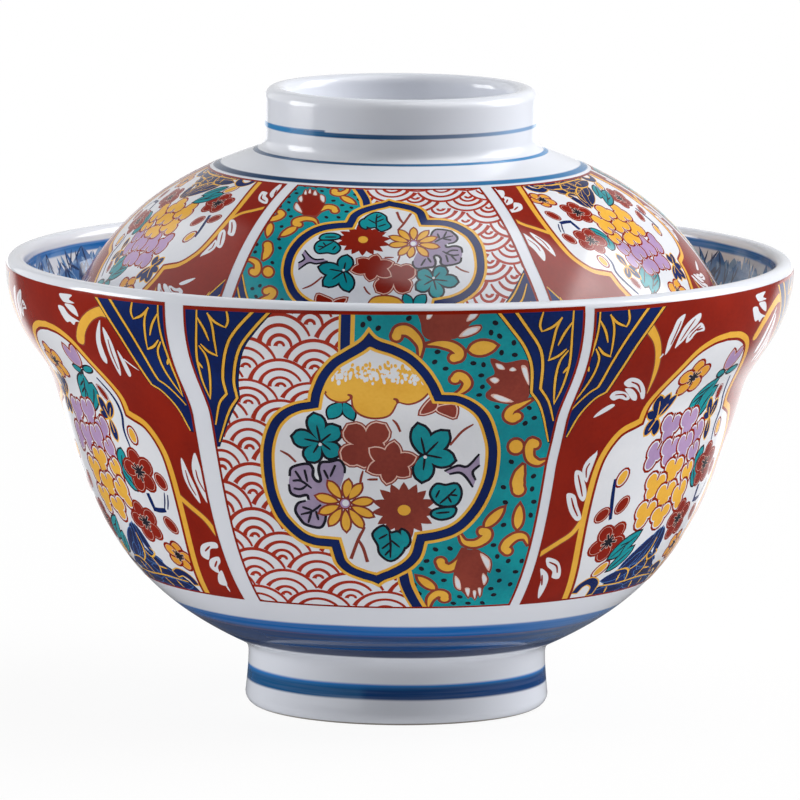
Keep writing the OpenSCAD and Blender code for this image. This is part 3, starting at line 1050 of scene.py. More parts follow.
def shrunk(ring, share):
    middle = ring.mean(0)
    return (ring - middle) * share + middle


def scrolls_and_buds(panel, fit, green):
    hand = random.Random(5)
    brush = Brush(panel, fit, green)
    panel.lay("teal", green)
    for dot in brush.ovals([(x, y, 0.68, 0.54, hand.uniform(0, 180)) for x, y in DOTS], 8):
        brush.lay("ink", dot)
    rings = brush.petals(SCROLL_LEAVES, 0.45, 0.7) + brush.ovals([SCROLL_BERRY])
    for wide, *path in SCROLLS:
        rings += scroll(fit, path, wide)
    brush.lined("gold", rings, "dark_red", 0.62)
    for body, *petals in BUDS:
        brush.lined(fit.bloom, brush.shapes([body]), "dark_red", 0.25)
        small = [shrunk(fit(*spots), 0.84) for spots in petals]
        brush.lined("blush", [curve(leaf, True, 3) for leaf in small], "dark_red", 0.36)
        for leaf in small:
            brush.lay("white", curve(shrunk(leaf, 0.72), True, 3))


print("green ground:", len(SCROLLS), "scrolls,", len(BUDS), "buds and", len(DOTS), "dots")


# %% Leaves and flowers of the window
def open_leaf(brush, middle, tips, wide, full):
    """A green leaf with one lobe for each tip, a dark line round it and a vein in each lobe."""
    size, base = brush.fit.size, brush.fit.spot(*middle)
    ends = brush.fit(*tips)
    brush.lined("teal", [petal(base, end, wide * size, full, 0.60, 8) for end in ends], "ink", 0.58)
    for end in ends:
        vein = base + (end - base) * np.array([[0.0], [0.3], [0.58]])
        brush.lay("ink", stroke(vein, 0.50 * size, (1.0, 0.4), 3))
    brush.lay("white", oval(base + (0, 0.5 * size), 0.4 * size, steps=7))


def star_flower(brush, middle, tips, wide, shape, *paint):
    """A flower with one petal for each tip. Its shape is how full, how blunt and how far out petals are."""
    base, (full, blunt, start) = brush.fit.spot(*middle), shape
    petals = [petal(base + start * (end - base), end, wide * brush.fit.size, full, blunt, 8)
              for end in brush.fit(*tips)]
    fill, *line = paint
    brush.lined(fill, petals, *line)


CLOUD_LOBES = (
    ((-11.3, 18), (-10.2, 19.9), (-8.4, 20.9), (-6.6, 20.7), (-5.5, 19.6)),
    ((-5.5, 19.6), (-5.2, 22.4), (-3.6, 24.3), (-0.8, 25), (2.2, 24.1), (3.9, 20.6)),
    ((3.9, 20.6), (6.2, 21.2), (8.8, 19.9), (11.4, 16.4)))
CLOUD_TOP = ((11.7, 15.8), (9.4, 14.4), (6, 13.4), (0, 12.9), (-6, 13.3), (-9.6, 14.6), (-11.6, 16.6))
CLOUD_HOOKS = (((-5.6, 20.2), (-5.6, 19.1), (-6.3, 18.8)), ((3.9, 21), (3.7, 20), (3, 19.7)))


def golden_cloud(brush):
    """A cloud with a clear lower edge. Towards its top it breaks up into flecks."""
    fit, size = brush.fit, brush.fit.size
    lobes = [curve(fit(*part), steps=4) for part in CLOUD_LOBES]
    brush.lay("gold", np.vstack(lobes + [fit(*CLOUD_TOP)]))
    hand = random.Random(8)
    for tone, count, first, last in (("gold", 74, -3.4, 0.4), ("white", 66, 3.2, -0.6)):
        for _ in range(count):
            x = hand.uniform(-9.6, 9.6)
            rise = hand.triangular(min(first, last), max(first, last), last)
            spot = fit.spot(x, 12.9 + 0.016 * x * x + rise * (1 - abs(x) / 22))
            long, wide = hand.uniform(0.40, 0.85) * size, hand.uniform(0.24, 0.46) * size
            brush.lay(tone, oval(spot, long, wide, hand.uniform(-105, -65), 7))
    for lobe in lobes:
        brush.lay("dark_red", stroke(lobe, 0.5 * size, (0.6, 0.6), 1))
    brush.lines(CLOUD_HOOKS, 0.7, "dark_red")
    brush.lay("dark_red", brush.ovals([(-11.2, 18.2, 0.7, 0.5, 20)], 8)[0])


print("golden cloud:", len(CLOUD_LOBES), "lobes")

# %% A bunch of garden flowers
CLOUD_LEAVES = ((-7.6, 21, -10.3, 25.2, 2.9), (-7.2, 20.9, -5.3, 25.4, 2.3))
OPEN_LEAVES = (
    ((-12.2, 30.7), ((-13.4, 24.3), (-8.3, 27.3), (-8.5, 33.5), (-14.8, 35), (-18, 29.7)), 3.5, 0.64),
    ((9.3, 33.1), ((7.9, 26.3), (14, 28), (15.3, 34.4), (8.6, 39.1)), 3.8, 0.54))
RED_BLOOMS = (
    ((-2.8, 31.4), ((-6.4, 26.7), (1.2, 26.4), (-7.6, 34.6), (-3.2, 36), (0.8, 33)),
     4.6, (0.62, 0.5, 0), 0.28),
    ((2.4, 35), ((3, 30.2), (-2, 31.8), (-2.4, 36.8), (1.4, 39.6), (6, 37.8), (7.4, 33.6)),
     3.2, (0.5, 0.7, 0), 0.26))
RED_WINGS = (((11.4, 19.2), (9.6, 21.2), (8.5, 23.7), (10.8, 23.1), (11.9, 21.6)),
             ((11.9, 22.9), (12.5, 21.7), (15.6, 21.5), (15.5, 24.6), (13.8, 24.1)))
LILAC_TOP = ((-18.8, 38.7), (-18.5, 36.9), (-16.8, 36), (-14.7, 35.7), (-13.8, 36.7), (-13.8, 38.4),
             (-13, 39.5), (-12.2, 39.2), (-12.6, 36.9), (-12.1, 35.3), (-10.3, 35), (-8.2, 34.6),
             (-7.2, 36.1), (-7.2, 37.5))
LILAC_SIDE = ((-14.8, 43.9), (-15.2, 42.8), (-17, 43.2), (-18.6, 42.5), (-19, 40.5))
LILAC_LOW = ((-11.2, 47.1), (-11.5, 48.9), (-12.6, 50.3), (-15.5, 49.7), (-16.6, 48.6), (-17.7, 46.6),
             (-17.1, 44.8), (-15.4, 44.1))
LILAC_VEINS = (
    ((-18.2, 39.7), (-16.4, 39.6), (-14.1, 41.2)), ((-18, 41.4), (-16.4, 41.5), (-15.2, 40.6)),
    ((-17.6, 37.4), (-16.2, 39.6)), ((-15.6, 37), (-15, 39.8)), ((-11.5, 36.9), (-10.6, 38.9)),
    ((-9.1, 35.7), (-10.2, 38.4)), ((-12.2, 44.9), (-14.1, 46.5), (-16.6, 47.4)),
    ((-14.3, 46.8), (-15, 49.3)), ((-13.3, 46.4), (-12.8, 48.5)), ((-16.2, 45.6), (-14.2, 46.2)))
RED_STALKS = (
    ((-20.8, 33), (-19, 33.9), (-17.4, 35.4)), ((19.3, 26.4), (16.9, 28), (14.4, 31)),
    ((2.7, 25.2), (3.6, 26.3), (4.3, 28)), ((-3.4, 36.8), (-3.9, 38.8), (-4, 40.6)),
    ((-2.6, 38.8), (-0.4, 38.7)))
RED_FORK = (((-3.2, 49.8), (-4.6, 52.8), (-6.2, 57.7)), ((-4.6, 52.8), (-3.6, 55), (-2.8, 58.4)))
LILAC_FORK = ((13.2, 36.8), (16, 35.6), (18, 35.8), (20.5, 33.1), (20.6, 35.6), (19.1, 37.1),
              (19.7, 39), (19.1, 40.6), (17.7, 38.3), (16.3, 37.2), (14.2, 37.5))
DAISY, ASTER = (4.9, 45.6), (-7.2, 44.4)
ASTER_TIPS = ((-6.4, 39), (-3.8, 39.9), (-1.5, 43.6), (-1.5, 47.2), (-3.6, 49.9), (-7, 50.9),
              (-10.5, 49.6), (-12.5, 46.8), (-13.2, 42.9), (-10.6, 39.5))
SMALL_LEAVES = (
    ((((10.6, 41.3), (11.7, 39.9), (13.4, 40.2), (15.7, 39.9), (16.5, 42), (15.3, 44.4), (12.2, 44.4),
       (10.7, 42.7)),
      ((10.8, 46.1), (12.2, 45.5), (15.2, 45.3), (14.7, 47), (12.5, 47.7), (10.8, 47))),
     (((15.6, 40.8), (13.9, 42.6), (12.2, 44.2)), ((11.4, 42.8), (12.2, 41.1)), ((14.6, 44), (13.9, 42.6)),
      ((15.9, 42.4), (14.4, 42.2)), ((14.2, 46.2), (11.4, 46.4)))),
    ((((-1.4, 51.4), (0.6, 49.6), (2, 51.2), (3.6, 51), (4.9, 53), (4.2, 55.8), (2, 57.8),
       (0, 56.2), (-0.4, 54)),
      ((4.2, 50.6), (5.4, 51.2), (5.8, 53.2), (4.8, 54.4))),
     (((1.8, 50.8), (2, 53.6), (1.9, 57.2)), ((-0.4, 52.6), (1.4, 51.4)), ((0.2, 55), (1.9, 53.4)),
      ((3.9, 54.6), (2.1, 52.8)), ((0.8, 56.6), (1.9, 55.2)))))


def flowers_under_cloud(panel, fit, ground):
    brush = Brush(panel, fit, ground)
    brush.lined("teal", brush.petals(CLOUD_LEAVES), "ink", 0.4)
    golden_cloud(brush)
    for leaf in OPEN_LEAVES:
        open_leaf(brush, *leaf)
    for middle, tips, wide, shape, gap in RED_BLOOMS:
        star_flower(brush, middle, tips, wide, shape, fit.bloom, "dark_red", 0.30, gap, "blush")
    brush.lined(fit.bloom, brush.shapes(RED_WINGS, 3), "dark_red", 0.34, 0.26, "blush")

    # The lilac leaf, whose dark line is broken where the brush was lifted
    brush.lay("mauve", brush.shapes([(*LILAC_TOP, (-8.6, 42.0), *LILAC_LOW, *LILAC_SIDE)], 3)[0])
    brush.lines((LILAC_TOP, LILAC_SIDE, LILAC_LOW), 0.70, "ink", (0.8, 0.7))
    brush.lines(LILAC_VEINS, 0.58, "ink", (0.8, 0.6))
    brush.lines(RED_STALKS, 0.55, "dark_red", (0.5, 0.9))
    brush.lines(RED_FORK, 0.7, "dark_red", (0.6, 1.1))
    brush.lay("mauve", fit(*LILAC_FORK))
    brush.lines((LILAC_FORK[:4], LILAC_FORK[4:7], LILAC_FORK[7:]), 0.62, "ink", (0.7, 0.7))

    # A dark daisy and a golden aster side by side, over everything else but two small leaves
    hand = random.Random(4)
    daisy_tips = []
    for angle in np.radians(np.arange(-90, 270, 24)):
        across, down = hand.uniform(6.0, 6.9) * math.cos(angle), hand.uniform(6.2, 7.1) * math.sin(angle)
        daisy_tips.append((DAISY[0] + across, DAISY[1] + down))
    star_flower(brush, DAISY, daisy_tips, 2.5, (0.46, 0.85, 0), fit.bloom, fit.bloom, 0.05)
    brush.lay("gold", brush.ovals([(4.9, 45.7, 1.35, 1.25, 0)])[0])
    star_flower(brush, ASTER, ASTER_TIPS, 1.7, (0.56, 0.62, 0.26), "gold", "dark_red", 0.42)
    brush.lined("lilac", brush.ovals([(*ASTER, 1.0, 1.05, 0)]), "dark_red", 0.32)
    brush.lay("white", brush.ovals([(-7.1, 44.3, 0.7, 0.75, 0)])[0])
    for rings, veins in SMALL_LEAVES:
        brush.lined("teal", brush.shapes(rings), "ink", 0.55)
        brush.lines(veins, 0.5)


print("bunch:", len(RED_BLOOMS) + 2, "flowers, and a lilac leaf with", len(LILAC_VEINS), "veins")

# %% The whole wave and scroll panel
SEA = ((-5.4, -3), (-7.2, 8), (0, 30), (3, 62), (4.6, 66), (6.2, 76), (-60, 76), (-60, -3))
GREEN = ((-5, -3), (60, -3), (60, 78), (7.6, 78), (5.4, 62), (0, 40), (-5, 8))
STRIPS = (((-6.3, -3), (-6.4, 2), (-6.5, 9), (-5.6, 12)),
          ((3.6, 58), (4.5, 61.6), (4.9, 64.3), (6.1, 68.3), (8.2, 74)))
WAVE_FANS = {
    -1: (((20.2, -2), (26.0, 4.2), (29.2, 9.0), (30.5, 16.0), (30.0, 21.2), (32.2, 25.2), (34.6, 32.1)),
         ((23.6, -2), (29.7, 4.4), (32, 8.8), (33, 15.6), (32.4, 20.3), (34.2, 23), (35.4, 28.3)),
         ((19.8, -2), (25.3, 4.3), (28.2, 8.8), (29.5, 15.6), (29.5, 21.1), (32.1, 26.6), (34.6, 33))),
    1: (((23.4, -2), (27.2, 2.8), (30.3, 7.2), (31.8, 11.9), (31.7, 18.6), (33.7, 22.7), (35.5, 31.0)),
        ((27.2, -2), (30.6, 2.8), (33.5, 7.3), (34.2, 11.4), (33.7, 17.6), (35.5, 21.4), (36.6, 26.4)))}
LOBED_WINDOW = (
    ((-1.7, 2.6), (0.2, 4.7), (4, 6.1), (7.6, 8.2), (10.6, 11.6), (12.5, 15.2), (13.4, 17.9)),
    ((13.4, 17.9), (16.6, 18.3), (20, 20.4), (22.6, 23.5), (24.2, 27.7), (25, 32.6), (24.2, 39.2),
     (21.8, 45.2), (18.6, 49.6), (15.5, 52), (12.2, 53.2), (9.6, 53.7)),
    ((9.6, 53.7), (8.6, 57.3), (6.4, 60.2), (3.2, 62.5), (0.8, 63.8), (-0.6, 65.2)),
    ((-0.6, 65.2), (-2.2, 64.2), (-4.4, 63.4), (-7.5, 61.8), (-9.7, 59.2), (-10.7, 55.5)),
    ((-10.7, 55.5), (-14.1, 55.2), (-17.2, 53.9), (-20.1, 51.3), (-22.5, 48), (-24.6, 42), (-25.2, 33.6),
     (-23.7, 27.3), (-20.9, 23.5), (-17.5, 21.3), (-14.7, 20.5)),
    ((-14.7, 20.5), (-14.2, 17.8), (-12.6, 13.4), (-10, 9.7), (-6.9, 7.4), (-3.7, 5.2), (-1.7, 2.6)))
WINDOW_LINES = (("gold", 0), ("ink", 0.68), ("navy", 0.84), ("ink", 2.48), ("gold", 2.60))


def wave_and_scroll_panel(wall, fit):
    panel = EnamelPanel(wall, "white", WAVE_HANG * fit.scale[1], WAVE_SLANT[wall.body])
    wave_scales(panel, fit, fit(*SEA), seed=11)
    scrolls_and_buds(panel, fit, fit(*GREEN))
    brush = Brush(panel, fit)
    for strip in STRIPS:
        brush.lay("gold", stroke(fit(*strip) + (0.2 * fit.size, 0), 3.3 * fit.size))
        brush.lay("navy", stroke(fit(*strip), 2.0 * fit.size))
    corner_fan(brush, -1, *WAVE_FANS[-1], shift=-1.5)
    corner_fan(brush, 1, *WAVE_FANS[1], shift=0.9 if wall.hand > 0 else 0)
    outer = np.vstack([curve(fit(*part))[:-1] for part in LOBED_WINDOW])
    broad = 0.4 + 0.6 * fit.size
    for tone, depth in WINDOW_LINES:
        brush.lay(tone, grow(outer, -depth * broad) if depth else outer)
    ground = grow(outer, -3.25 * broad)
    brush.lay("white", ground)
    flowers_under_cloud(panel, fit, ground)
    return panel


print("wave panel: a window of", len(LOBED_WINDOW), "arcs")


# %% [markdown]
# ## The peony panel
# The panel between two wave panels has an iron-red ground with white plumes and yellow tendrils. Its window
# is a tall shape with a pinched waist that runs off the lower edge. In it a peony of lilac and yellow
# florets stands among plum blossom, over dark blue leaves with yellow veins. The florets and the blossoms
# repeat, so each has a function of its own, and the rest is listed one by one.

# %% Plumes and tendrils
TENDRILS = (
    ((-25.8, 3.6), (-23.2, 6.4), (-21.2, 9.8), (-19.3, 15.2), (-18, 21.4), (-19.4, 17.9), (-20.9, 14),
     (-22.6, 10.3), (-24.2, 7.8), (-26.6, 5.4)),
    ((26.4, 2.2), (23.4, 2.4), (19.2, 4), (15.4, 6.8), (12.6, 10.8), (14.6, 11.6), (16.9, 8.6),
     (20.2, 5.8),
     (23.6, 4.4), (26.6, 4.6)))
LOW_TENDRILS = (((-23.6, 48.2), (-24.6, 51.5), (-25.6, 53.2), (-27.9, 55), (-31, 57.6)),
                ((25, 45.2), (28, 48), (30.6, 50.6), (31.9, 54)))
PLUMES = (
    ((-19.5, 11.2), (-20, 8), (-19.4, 5.8), (-18.5, 3.6), (-16.4, 2.6), (-16.8, 4.2), (-17.4, 6),
     (-18.2, 7.9), (-18.8, 10.3)),
    ((-17.3, 9.9), (-17.1, 7.8), (-16.3, 5.6), (-14.6, 4), (-11.8, 2.8), (-11.4, 3.8), (-12.4, 5.2),
     (-13.9, 6.4), (-15.2, 8.2), (-16.6, 9.5)),
    ((-14.4, 9), (-14.5, 7.4), (-13, 6.2), (-11.2, 4.9), (-9.8, 5.8), (-9.6, 6.8), (-11.9, 7),
     (-13.2, 8.5)),
    ((-26.8, 17.6), (-25.8, 16.4), (-23, 17.1), (-19.8, 19.7), (-18.1, 22.4), (-18.9, 22.6), (-20.5, 20.9),
     (-23.2, 19.1), (-25, 18.9)),
    ((-25.4, 19.3), (-23.3, 19.6), (-20.8, 21.5), (-20.1, 22.9), (-21.4, 22.6), (-23.2, 21.2)),
    ((-28.2, 21.1), (-27.6, 19.7), (-24.7, 20.3), (-22.4, 22), (-22.9, 22.6), (-25.2, 21.9),
     (-26.5, 22.3)),
    ((-29.4, 26.3), (-28.5, 24.7), (-26.6, 23.3), (-25.3, 23.7), (-26.8, 25.1)),
    ((9.2, 1.3), (11.2, 1), (14.2, 1), (13, 2), (15, 2.6), (12.4, 2.8), (10.6, 2.6)),
    ((11.2, 3.1), (14.2, 3.1), (15.4, 4), (15.8, 5.3), (14.4, 5), (12.8, 4.3)),
    ((8.4, 3.8), (10.5, 3.8), (11.8, 4.9), (13.2, 5.6), (15.9, 6.4), (14.4, 6.6), (13.4, 7.4), (12.2, 6.8),
     (10.8, 7), (9.2, 5.4)),
    ((23.1, 5.2), (21, 7.9), (19.6, 10.8), (18.7, 14.6), (19.6, 15.7), (20.8, 13.6), (21.2, 10.6),
     (22.2, 8)),
    ((23.5, 6.7), (22.8, 10.6), (22, 14.6), (21.5, 18.6), (23.2, 16.4), (24.5, 13), (24.8, 9.4)),
    ((25.6, 11.6), (25, 14.5), (24.3, 18.3), (25.6, 17.6), (26.2, 14.4)),
    ((-25.9, 34.2), (-27.9, 35.8), (-28.4, 37.8), (-27.6, 39.7), (-26.3, 40.9), (-26.2, 39.3),
     (-26, 37)),
    ((-30.1, 38.1), (-28.4, 38.4), (-27.2, 40.2), (-25.5, 43.2), (-25.4, 45.2), (-26.9, 44.4),
     (-29.2, 41)),
    ((-30.4, 43.3), (-28.3, 43.6), (-26.7, 46), (-24.5, 49.1), (-25.6, 49.7), (-28.3, 47.2)),
    ((30, 36.6), (29, 40), (29.2, 43), (30.9, 46.8), (31.3, 44), (30.9, 41)),
    ((34.2, 35.2), (32.5, 37.4), (31.8, 40), (32, 43), (33, 46.6), (34.7, 43.6), (34.3, 40)),
    ((-28.6, 58.4), (-25.4, 59.5), (-23.1, 62.1), (-22.2, 64.4), (-24.2, 64), (-25.2, 62.2),
     (-27.4, 60.6)),
    ((-28.6, 61.2), (-26.2, 62.6), (-24.5, 65.2), (-23.4, 70), (-25.2, 67.6), (-26.6, 64.4)),
    ((24.2, 59.8), (25.6, 57.4), (28, 56.2), (30.4, 56), (30.2, 57.3), (28, 57.8), (26.6, 59.6),
     (25.4, 60.8)),
    ((24.6, 63), (26, 60.7), (28.9, 59.6), (28.6, 61), (27, 62.4), (26, 64.2)),
    ((23.7, 67.4), (25.2, 64.9), (27.3, 63.3), (26.8, 65.2), (25.6, 67.6)))
PLUME_VEINS = (
    ((-17.4, 4), (-18.2, 6.4), (-18.9, 9)), ((-13.1, 3.9), (-15, 6.2), (-16.3, 8.4)),
    ((-11, 5.6), (-13, 6.9), (-13.8, 8)), ((-10.2, 6.2), (-12, 6.5)),
    ((-24.9, 17.5), (-22.4, 18.6), (-20.2, 20.8)), ((-27, 20.8), (-24.8, 20.9), (-23.4, 21.8)),
    ((-26.9, 36.3), (-27.4, 37.8), (-26.8, 39.8)), ((-29.1, 39), (-27.6, 41.6), (-26.2, 44.1)),
    ((-28.9, 44.2), (-27.5, 46.4), (-25.6, 48.7)), ((22.2, 9.2), (21.2, 12), (20.6, 15)),
    ((24, 9.4), (23.2, 13), (22.4, 16.8)), ((32.9, 39), (32.7, 41.4), (33.4, 44)),
    ((30, 39.4), (29.9, 42.6), (30.6, 45)), ((-27.4, 59.6), (-25, 60.8), (-23.6, 62.8)),
    ((-27.2, 63), (-25.4, 66)), ((26, 58.6), (28.2, 57.1)), ((26, 62.6), (27.8, 60.8)))
TAILS = (((-20, 11), (-20.6, 12)), ((26.2, 13.8), (28.9, 16.3)), ((-26.9, 36.6), (-26, 33.8)),
         ((25.6, 66.8), (24.8, 69.6)))


def plumes_and_tendrils(brush):
    fit = brush.fit
    brush.lined("gold", brush.shapes(TENDRILS), "dark_red", 0.3)
    brush.lined("gold", [stroke(fit(*line), 1.25 * fit.size) for line in LOW_TENDRILS], "dark_red", 0.3)
    for plume in brush.shapes(PLUMES):
        brush.lay("white", plume)
    brush.lines(PLUME_VEINS, 0.4, "red")
    brush.lines(TAILS, 0.45, "white", (1, 0.2))


print("red ground:", len(PLUMES), "plumes and", len(TENDRILS) + len(LOW_TENDRILS), "tendrils")


# %% Blossoms and florets
def five_petals(brush, x, y, reach, fill, turn):
    """A blossom of five round petals, each with its own line, and dark stamens with a pale edge."""
    middle, s = brush.fit.spot(x, y), brush.fit.size
    size, squeeze = reach * s, brush.fit.scale / brush.fit.scale.max()
    for angle in range(turn, turn + 360, 72):
        way = spin(points((1, 0)), angle)[0] * squeeze
        ring = oval(middle + 0.57 * size * way, 0.40 * size, 0.345 * size, angle)
        brush.lined(fill, [ring], "red", 0.54, 0.08, "blush")
    brush.lay(fill, oval(middle, 0.34 * size))
    ways = [spin(points((1, 0)), turn + 20 + 40 * k)[0] for k in range(9)]
    for tone, longer, width, tips in (("blush", 0.16, 0.74, (0.4, 0.9)), ("ink", 0, 0.56, (1.1, 0.9))):
        for way, share in zip(ways, (0.30, 0.46, 0.38) * 3):
            end = middle + (share * size + longer * s) * way
            brush.lay(tone, stroke(points(middle, end), width * s, tips))


FLORET_LOBES = ((-0.25, -0.14, 0.23, 0.27), (0.23, -0.18, 0.23, 0.27), (-0.02, -0.04, 0.2, 0.24),
                (0, 0.2, 0.25, 0.28))


def floret(brush, x, y, wide, tall, turn, fill):
    """One floret of the peony: round lobes above a narrow foot, with a white gap inside its line."""
    fit, middle = brush.fit, brush.fit.spot(x, y)
    s = fit.size * fit.floret
    rings = []
    for across, down, long, broad in FLORET_LOBES:
        spot = spin(points((across * wide, down * tall)), turn)[0] * s
        rings.append(oval(middle + spot, long * wide * s, broad * tall * s, turn, 12))
    brush.panel.lined(fill, rings, "red", 0.54 * fit.size, brush.within, fit.gap)
    notch = middle + spin(points((-0.02 * wide, -0.52 * tall), (-0.01 * wide, -0.2 * tall)), turn) * s
    brush.lay("white", stroke(notch, 0.8 * s, (1, 0.5)))
    brush.lay("red", stroke(notch, 0.46 * s, (1.2, 0.6)))


print("floret:", len(FLORET_LOBES), "lobes")

# %% Peony and plum blossom
LILAC_FLORETS = ((-6, 30.8, 6, 6.2, 10), (0.6, 30.2, 6, 6.2, 0), (5.6, 33.8, 5.2, 6.4, -16),
                 (-8.9, 36.6, 5, 6.2, 24), (-3.8, 36.2, 6, 6.2, 6), (1.6, 35.8, 5.2, 6.4, -4),
                 (6.4, 38, 3.8, 5.4, -18))
YELLOW_FLORETS = ((-0.2, 40.8, 6.4, 5.6, 4), (6.4, 42.4, 4.2, 5.4, -20), (-5.6, 43.8, 6.4, 6, 14),
                  (-0.2, 46.6, 6.6, 6.2, -2), (6, 47.4, 5.2, 6.8, -22), (-5.6, 50.4, 6.2, 6.4, 8),
                  (0.8, 51.6, 6.4, 5.4, -6))
LILAC_BUDS = ((6.6, 18, 5.2, 12.9, 2.6), (7.2, 18, 9.2, 12.6, 2.6))
TOP_LEAF_OVALS = ((5.4, 19, 1.5, 0.85, 15), (10, 18.5, 2, 0.75, -14))
TOP_LEAF, LOWER_TOP_LEAF = (6.1, 20.3, -0.4, 28.4, 4.6), (7.8, 22.6, 3, 29.2, 3.6)
TOP_LEAF_VEINS = (
    ((8.4, 18.6), (6.2, 19.6), (4.6, 21)), ((5.2, 21.4), (2.8, 24.4), (0.6, 27.6)),
    ((7, 24), (4, 28.2)), ((4, 22.4), (1, 24)), ((2.8, 24.2), (0, 25.8)),
    ((3, 24.6), (2.4, 26.8)))
NAVY_BLOOMS = (
    (-11.3, 27.6, -13.4, 22.4, 2.8), (-11, 27.4, -10.4, 22.2, 2.4), (-10.7, 27.6, -7.7, 22.8, 2),
    (-12, 27.9, -13.9, 31.6, 2.2), (-11.2, 28.2, -10.8, 31.8, 2.2), (-11.6, 27.8, -14.8, 26.6, 1.9),
    (9.4, 30.2, 7.5, 25.6, 2.2), (9.8, 30.2, 11.9, 26.4, 2.2), (9.8, 30.4, 10.4, 35.2, 2.2),
    (9.2, 30.2, 6.6, 29.2, 1.5))
NAVY_BLOOM_VEINS = (
    ((-11.2, 28.4), (-11.8, 25.4), (-12.4, 24)), ((-11, 27.6), (-9.2, 25)),
    ((-11.6, 28.4), (-13, 30.6)), ((9.6, 30.6), (8.4, 27.8)), ((9.8, 30.4), (11.2, 27.8)),
    ((9.9, 30.6), (10.2, 33.4)))
RIGHT_TWIG = ((11.6, 20.4), (13.8, 25), (14.9, 28.8), (14.1, 32.5), (14.8, 36.8))
GOLD_BUDS = ((16.7, 33.2, 1.6, 1, 80), (-16.8, 40.7, 1.7, 1.1, -70), (-11.6, 63.2, 1.9, 1.1, -55))
SIDE_LEAVES = ((9, 42, 10.9, 36.9, 2.9), (8.9, 41.4, 12.2, 46, 2.4))
SIDE_VEINS = (((9.2, 41.4), (10.4, 38.4)), ((9.4, 42), (11.6, 45)))
PLUM_TWIGS = (((15.7, 46.2), (15.9, 48), (16.1, 49.8)), ((15.6, 49.8), (17.6, 49.9), (19.8, 49.6)))
PLUM_TIPS = (((19.5, 49.4), (20.6, 47.4), (21.4, 45.4)), ((20.5, 49.4), (21.5, 47.6), (22.2, 45.8)))
LEFT_TWIG = ((-18.9, 40.8), (-17.8, 45.4), (-16.2, 50.4))
RED_PLUM_BUDS = ((-14.2, 47.2, 1.9, 1.25, -58), (-19, 49.1, 1.7, 1.25, -40), (21.5, 42.9, 1.7, 1.2, 65),
                 (19.3, 53.2, 1.8, 1.25, 60))
LOW_LEAF, LOWEST_LEAF = (-4.2, 54.4, -11.2, 60.6, 3.6), (-4.4, 58.2, -9.2, 64, 2.8)
LOW_LEAF_VEINS = (((-5, 55.4), (-8, 57.8), (-10.6, 60.2)), ((-6.4, 56.6), (-9.2, 57.4)),
                  ((-7.6, 57.8), (-8, 60)), ((-5, 59.2), (-7.2, 61.6), (-8.8, 63.4)))
LEAF_MASS = (
    (0.6, 61.6), (2.6, 60.6), (4.6, 61.2), (6.4, 62.6), (8.4, 63.4), (8.6, 64.6), (12.2, 66.8), (14, 69),
    (13.6, 73), (2, 74), (-9.8, 73), (-8.4, 69.2), (-6.4, 68), (-8.6, 66.6), (-5.6, 64.6),
    (-3.6, 63))
NAVY_LEAVES = (
    (-1.2, 63.6, 2.6, 68, 3.4), (0.6, 63.2, 8.8, 63.4, 2.8), (3, 61.4, 9.4, 65.8, 2.4),
    (5, 54.8, 6.6, 62.2, 2.3), (4.3, 54.4, 2.6, 62.8, 2.4), (3.4, 54.8, -1.4, 63.6, 2.5),
    (2.2, 56, -5.4, 63.8, 2.3), (-0.2, 60.2, -4.8, 65.6, 2), (-0.2, 64.8, -9, 66.8, 2.7),
    (2, 65.8, 12, 67.6, 2.6), (2, 69.9, -9.4, 70.4, 2.6), (1.5, 69.9, 13.6, 69.8, 2.8))
NAVY_LEAF_VEINS = (
    ((-9.2, 68.3), (-2.8, 68.5), (2.3, 68.1), (7, 67.9), (13.4, 68.5)),
    ((-5.8, 64.4), (-2.6, 64.2), (-0.6, 65.4), (0.6, 68)),
    ((-1, 65), (1.6, 63.4), (3.4, 60.6), (3.7, 57)),
    ((3.2, 61.4), (5, 63), (7.6, 61.6), (6.4, 60.4)), ((5, 63), (5.6, 65.4), (4.2, 67.6)),
    ((5.6, 65.4), (8.6, 65.6)), ((-3.6, 65.4), (-3, 67.8)), ((-5, 69), (-4.2, 71)),
    ((4.4, 68.8), (5.6, 71)), ((9, 68.6), (9.6, 70.8)))
CURLS = (((-14.5, 69.6), (-14.2, 67.4), (-12.4, 66.4), (-10, 67.8), (-9.2, 70.8)),
         ((10.8, 66.6), (13.2, 65.8), (15.2, 66.9), (15.6, 69)))


def top_of_window(brush):
    """Buds, leaves and dark blooms above the peony."""
    five_petals(brush, -5.6, 18.6, 4.6, "orange", -100)
    brush.lined("lilac", brush.petals(LILAC_BUDS, 0.5, 0.6), "red", 0.42, 0.18, "blush")
    leaves = brush.petals([TOP_LEAF], 0.55, 0.6) + brush.petals([LOWER_TOP_LEAF], 0.5, 0.6)
    brush.lined("teal", brush.ovals(TOP_LEAF_OVALS) + leaves, "ink", 0.45)
    brush.lines(TOP_LEAF_VEINS, 0.45)
    brush.lined("red", brush.ovals([(10.4, 24.4, 1.9, 0.95, 68)]), "red", 0.2, 0.16)
    brush.lined("navy", brush.petals(NAVY_BLOOMS, 0.55, 0.65), "gold", 0.34)
    brush.lines(NAVY_BLOOM_VEINS, 0.34, "gold")
    brush.lines([RIGHT_TWIG], 0.8, "navy", (0.8, 0.4))
    brush.lined("gold", brush.ovals(GOLD_BUDS), "red", 0.46, 0.22)


def peony(brush):
    """The peony, floret over floret from the top down, with two leaves behind its yellow part."""
    for row in LILAC_FLORETS:
        floret(brush, *row, "lilac")
    brush.lined("teal", brush.petals(SIDE_LEAVES, 0.55, 0.55), "ink", 0.42)
    brush.lines(SIDE_VEINS, 0.4)
    for row in YELLOW_FLORETS:
        floret(brush, *row, "gold")


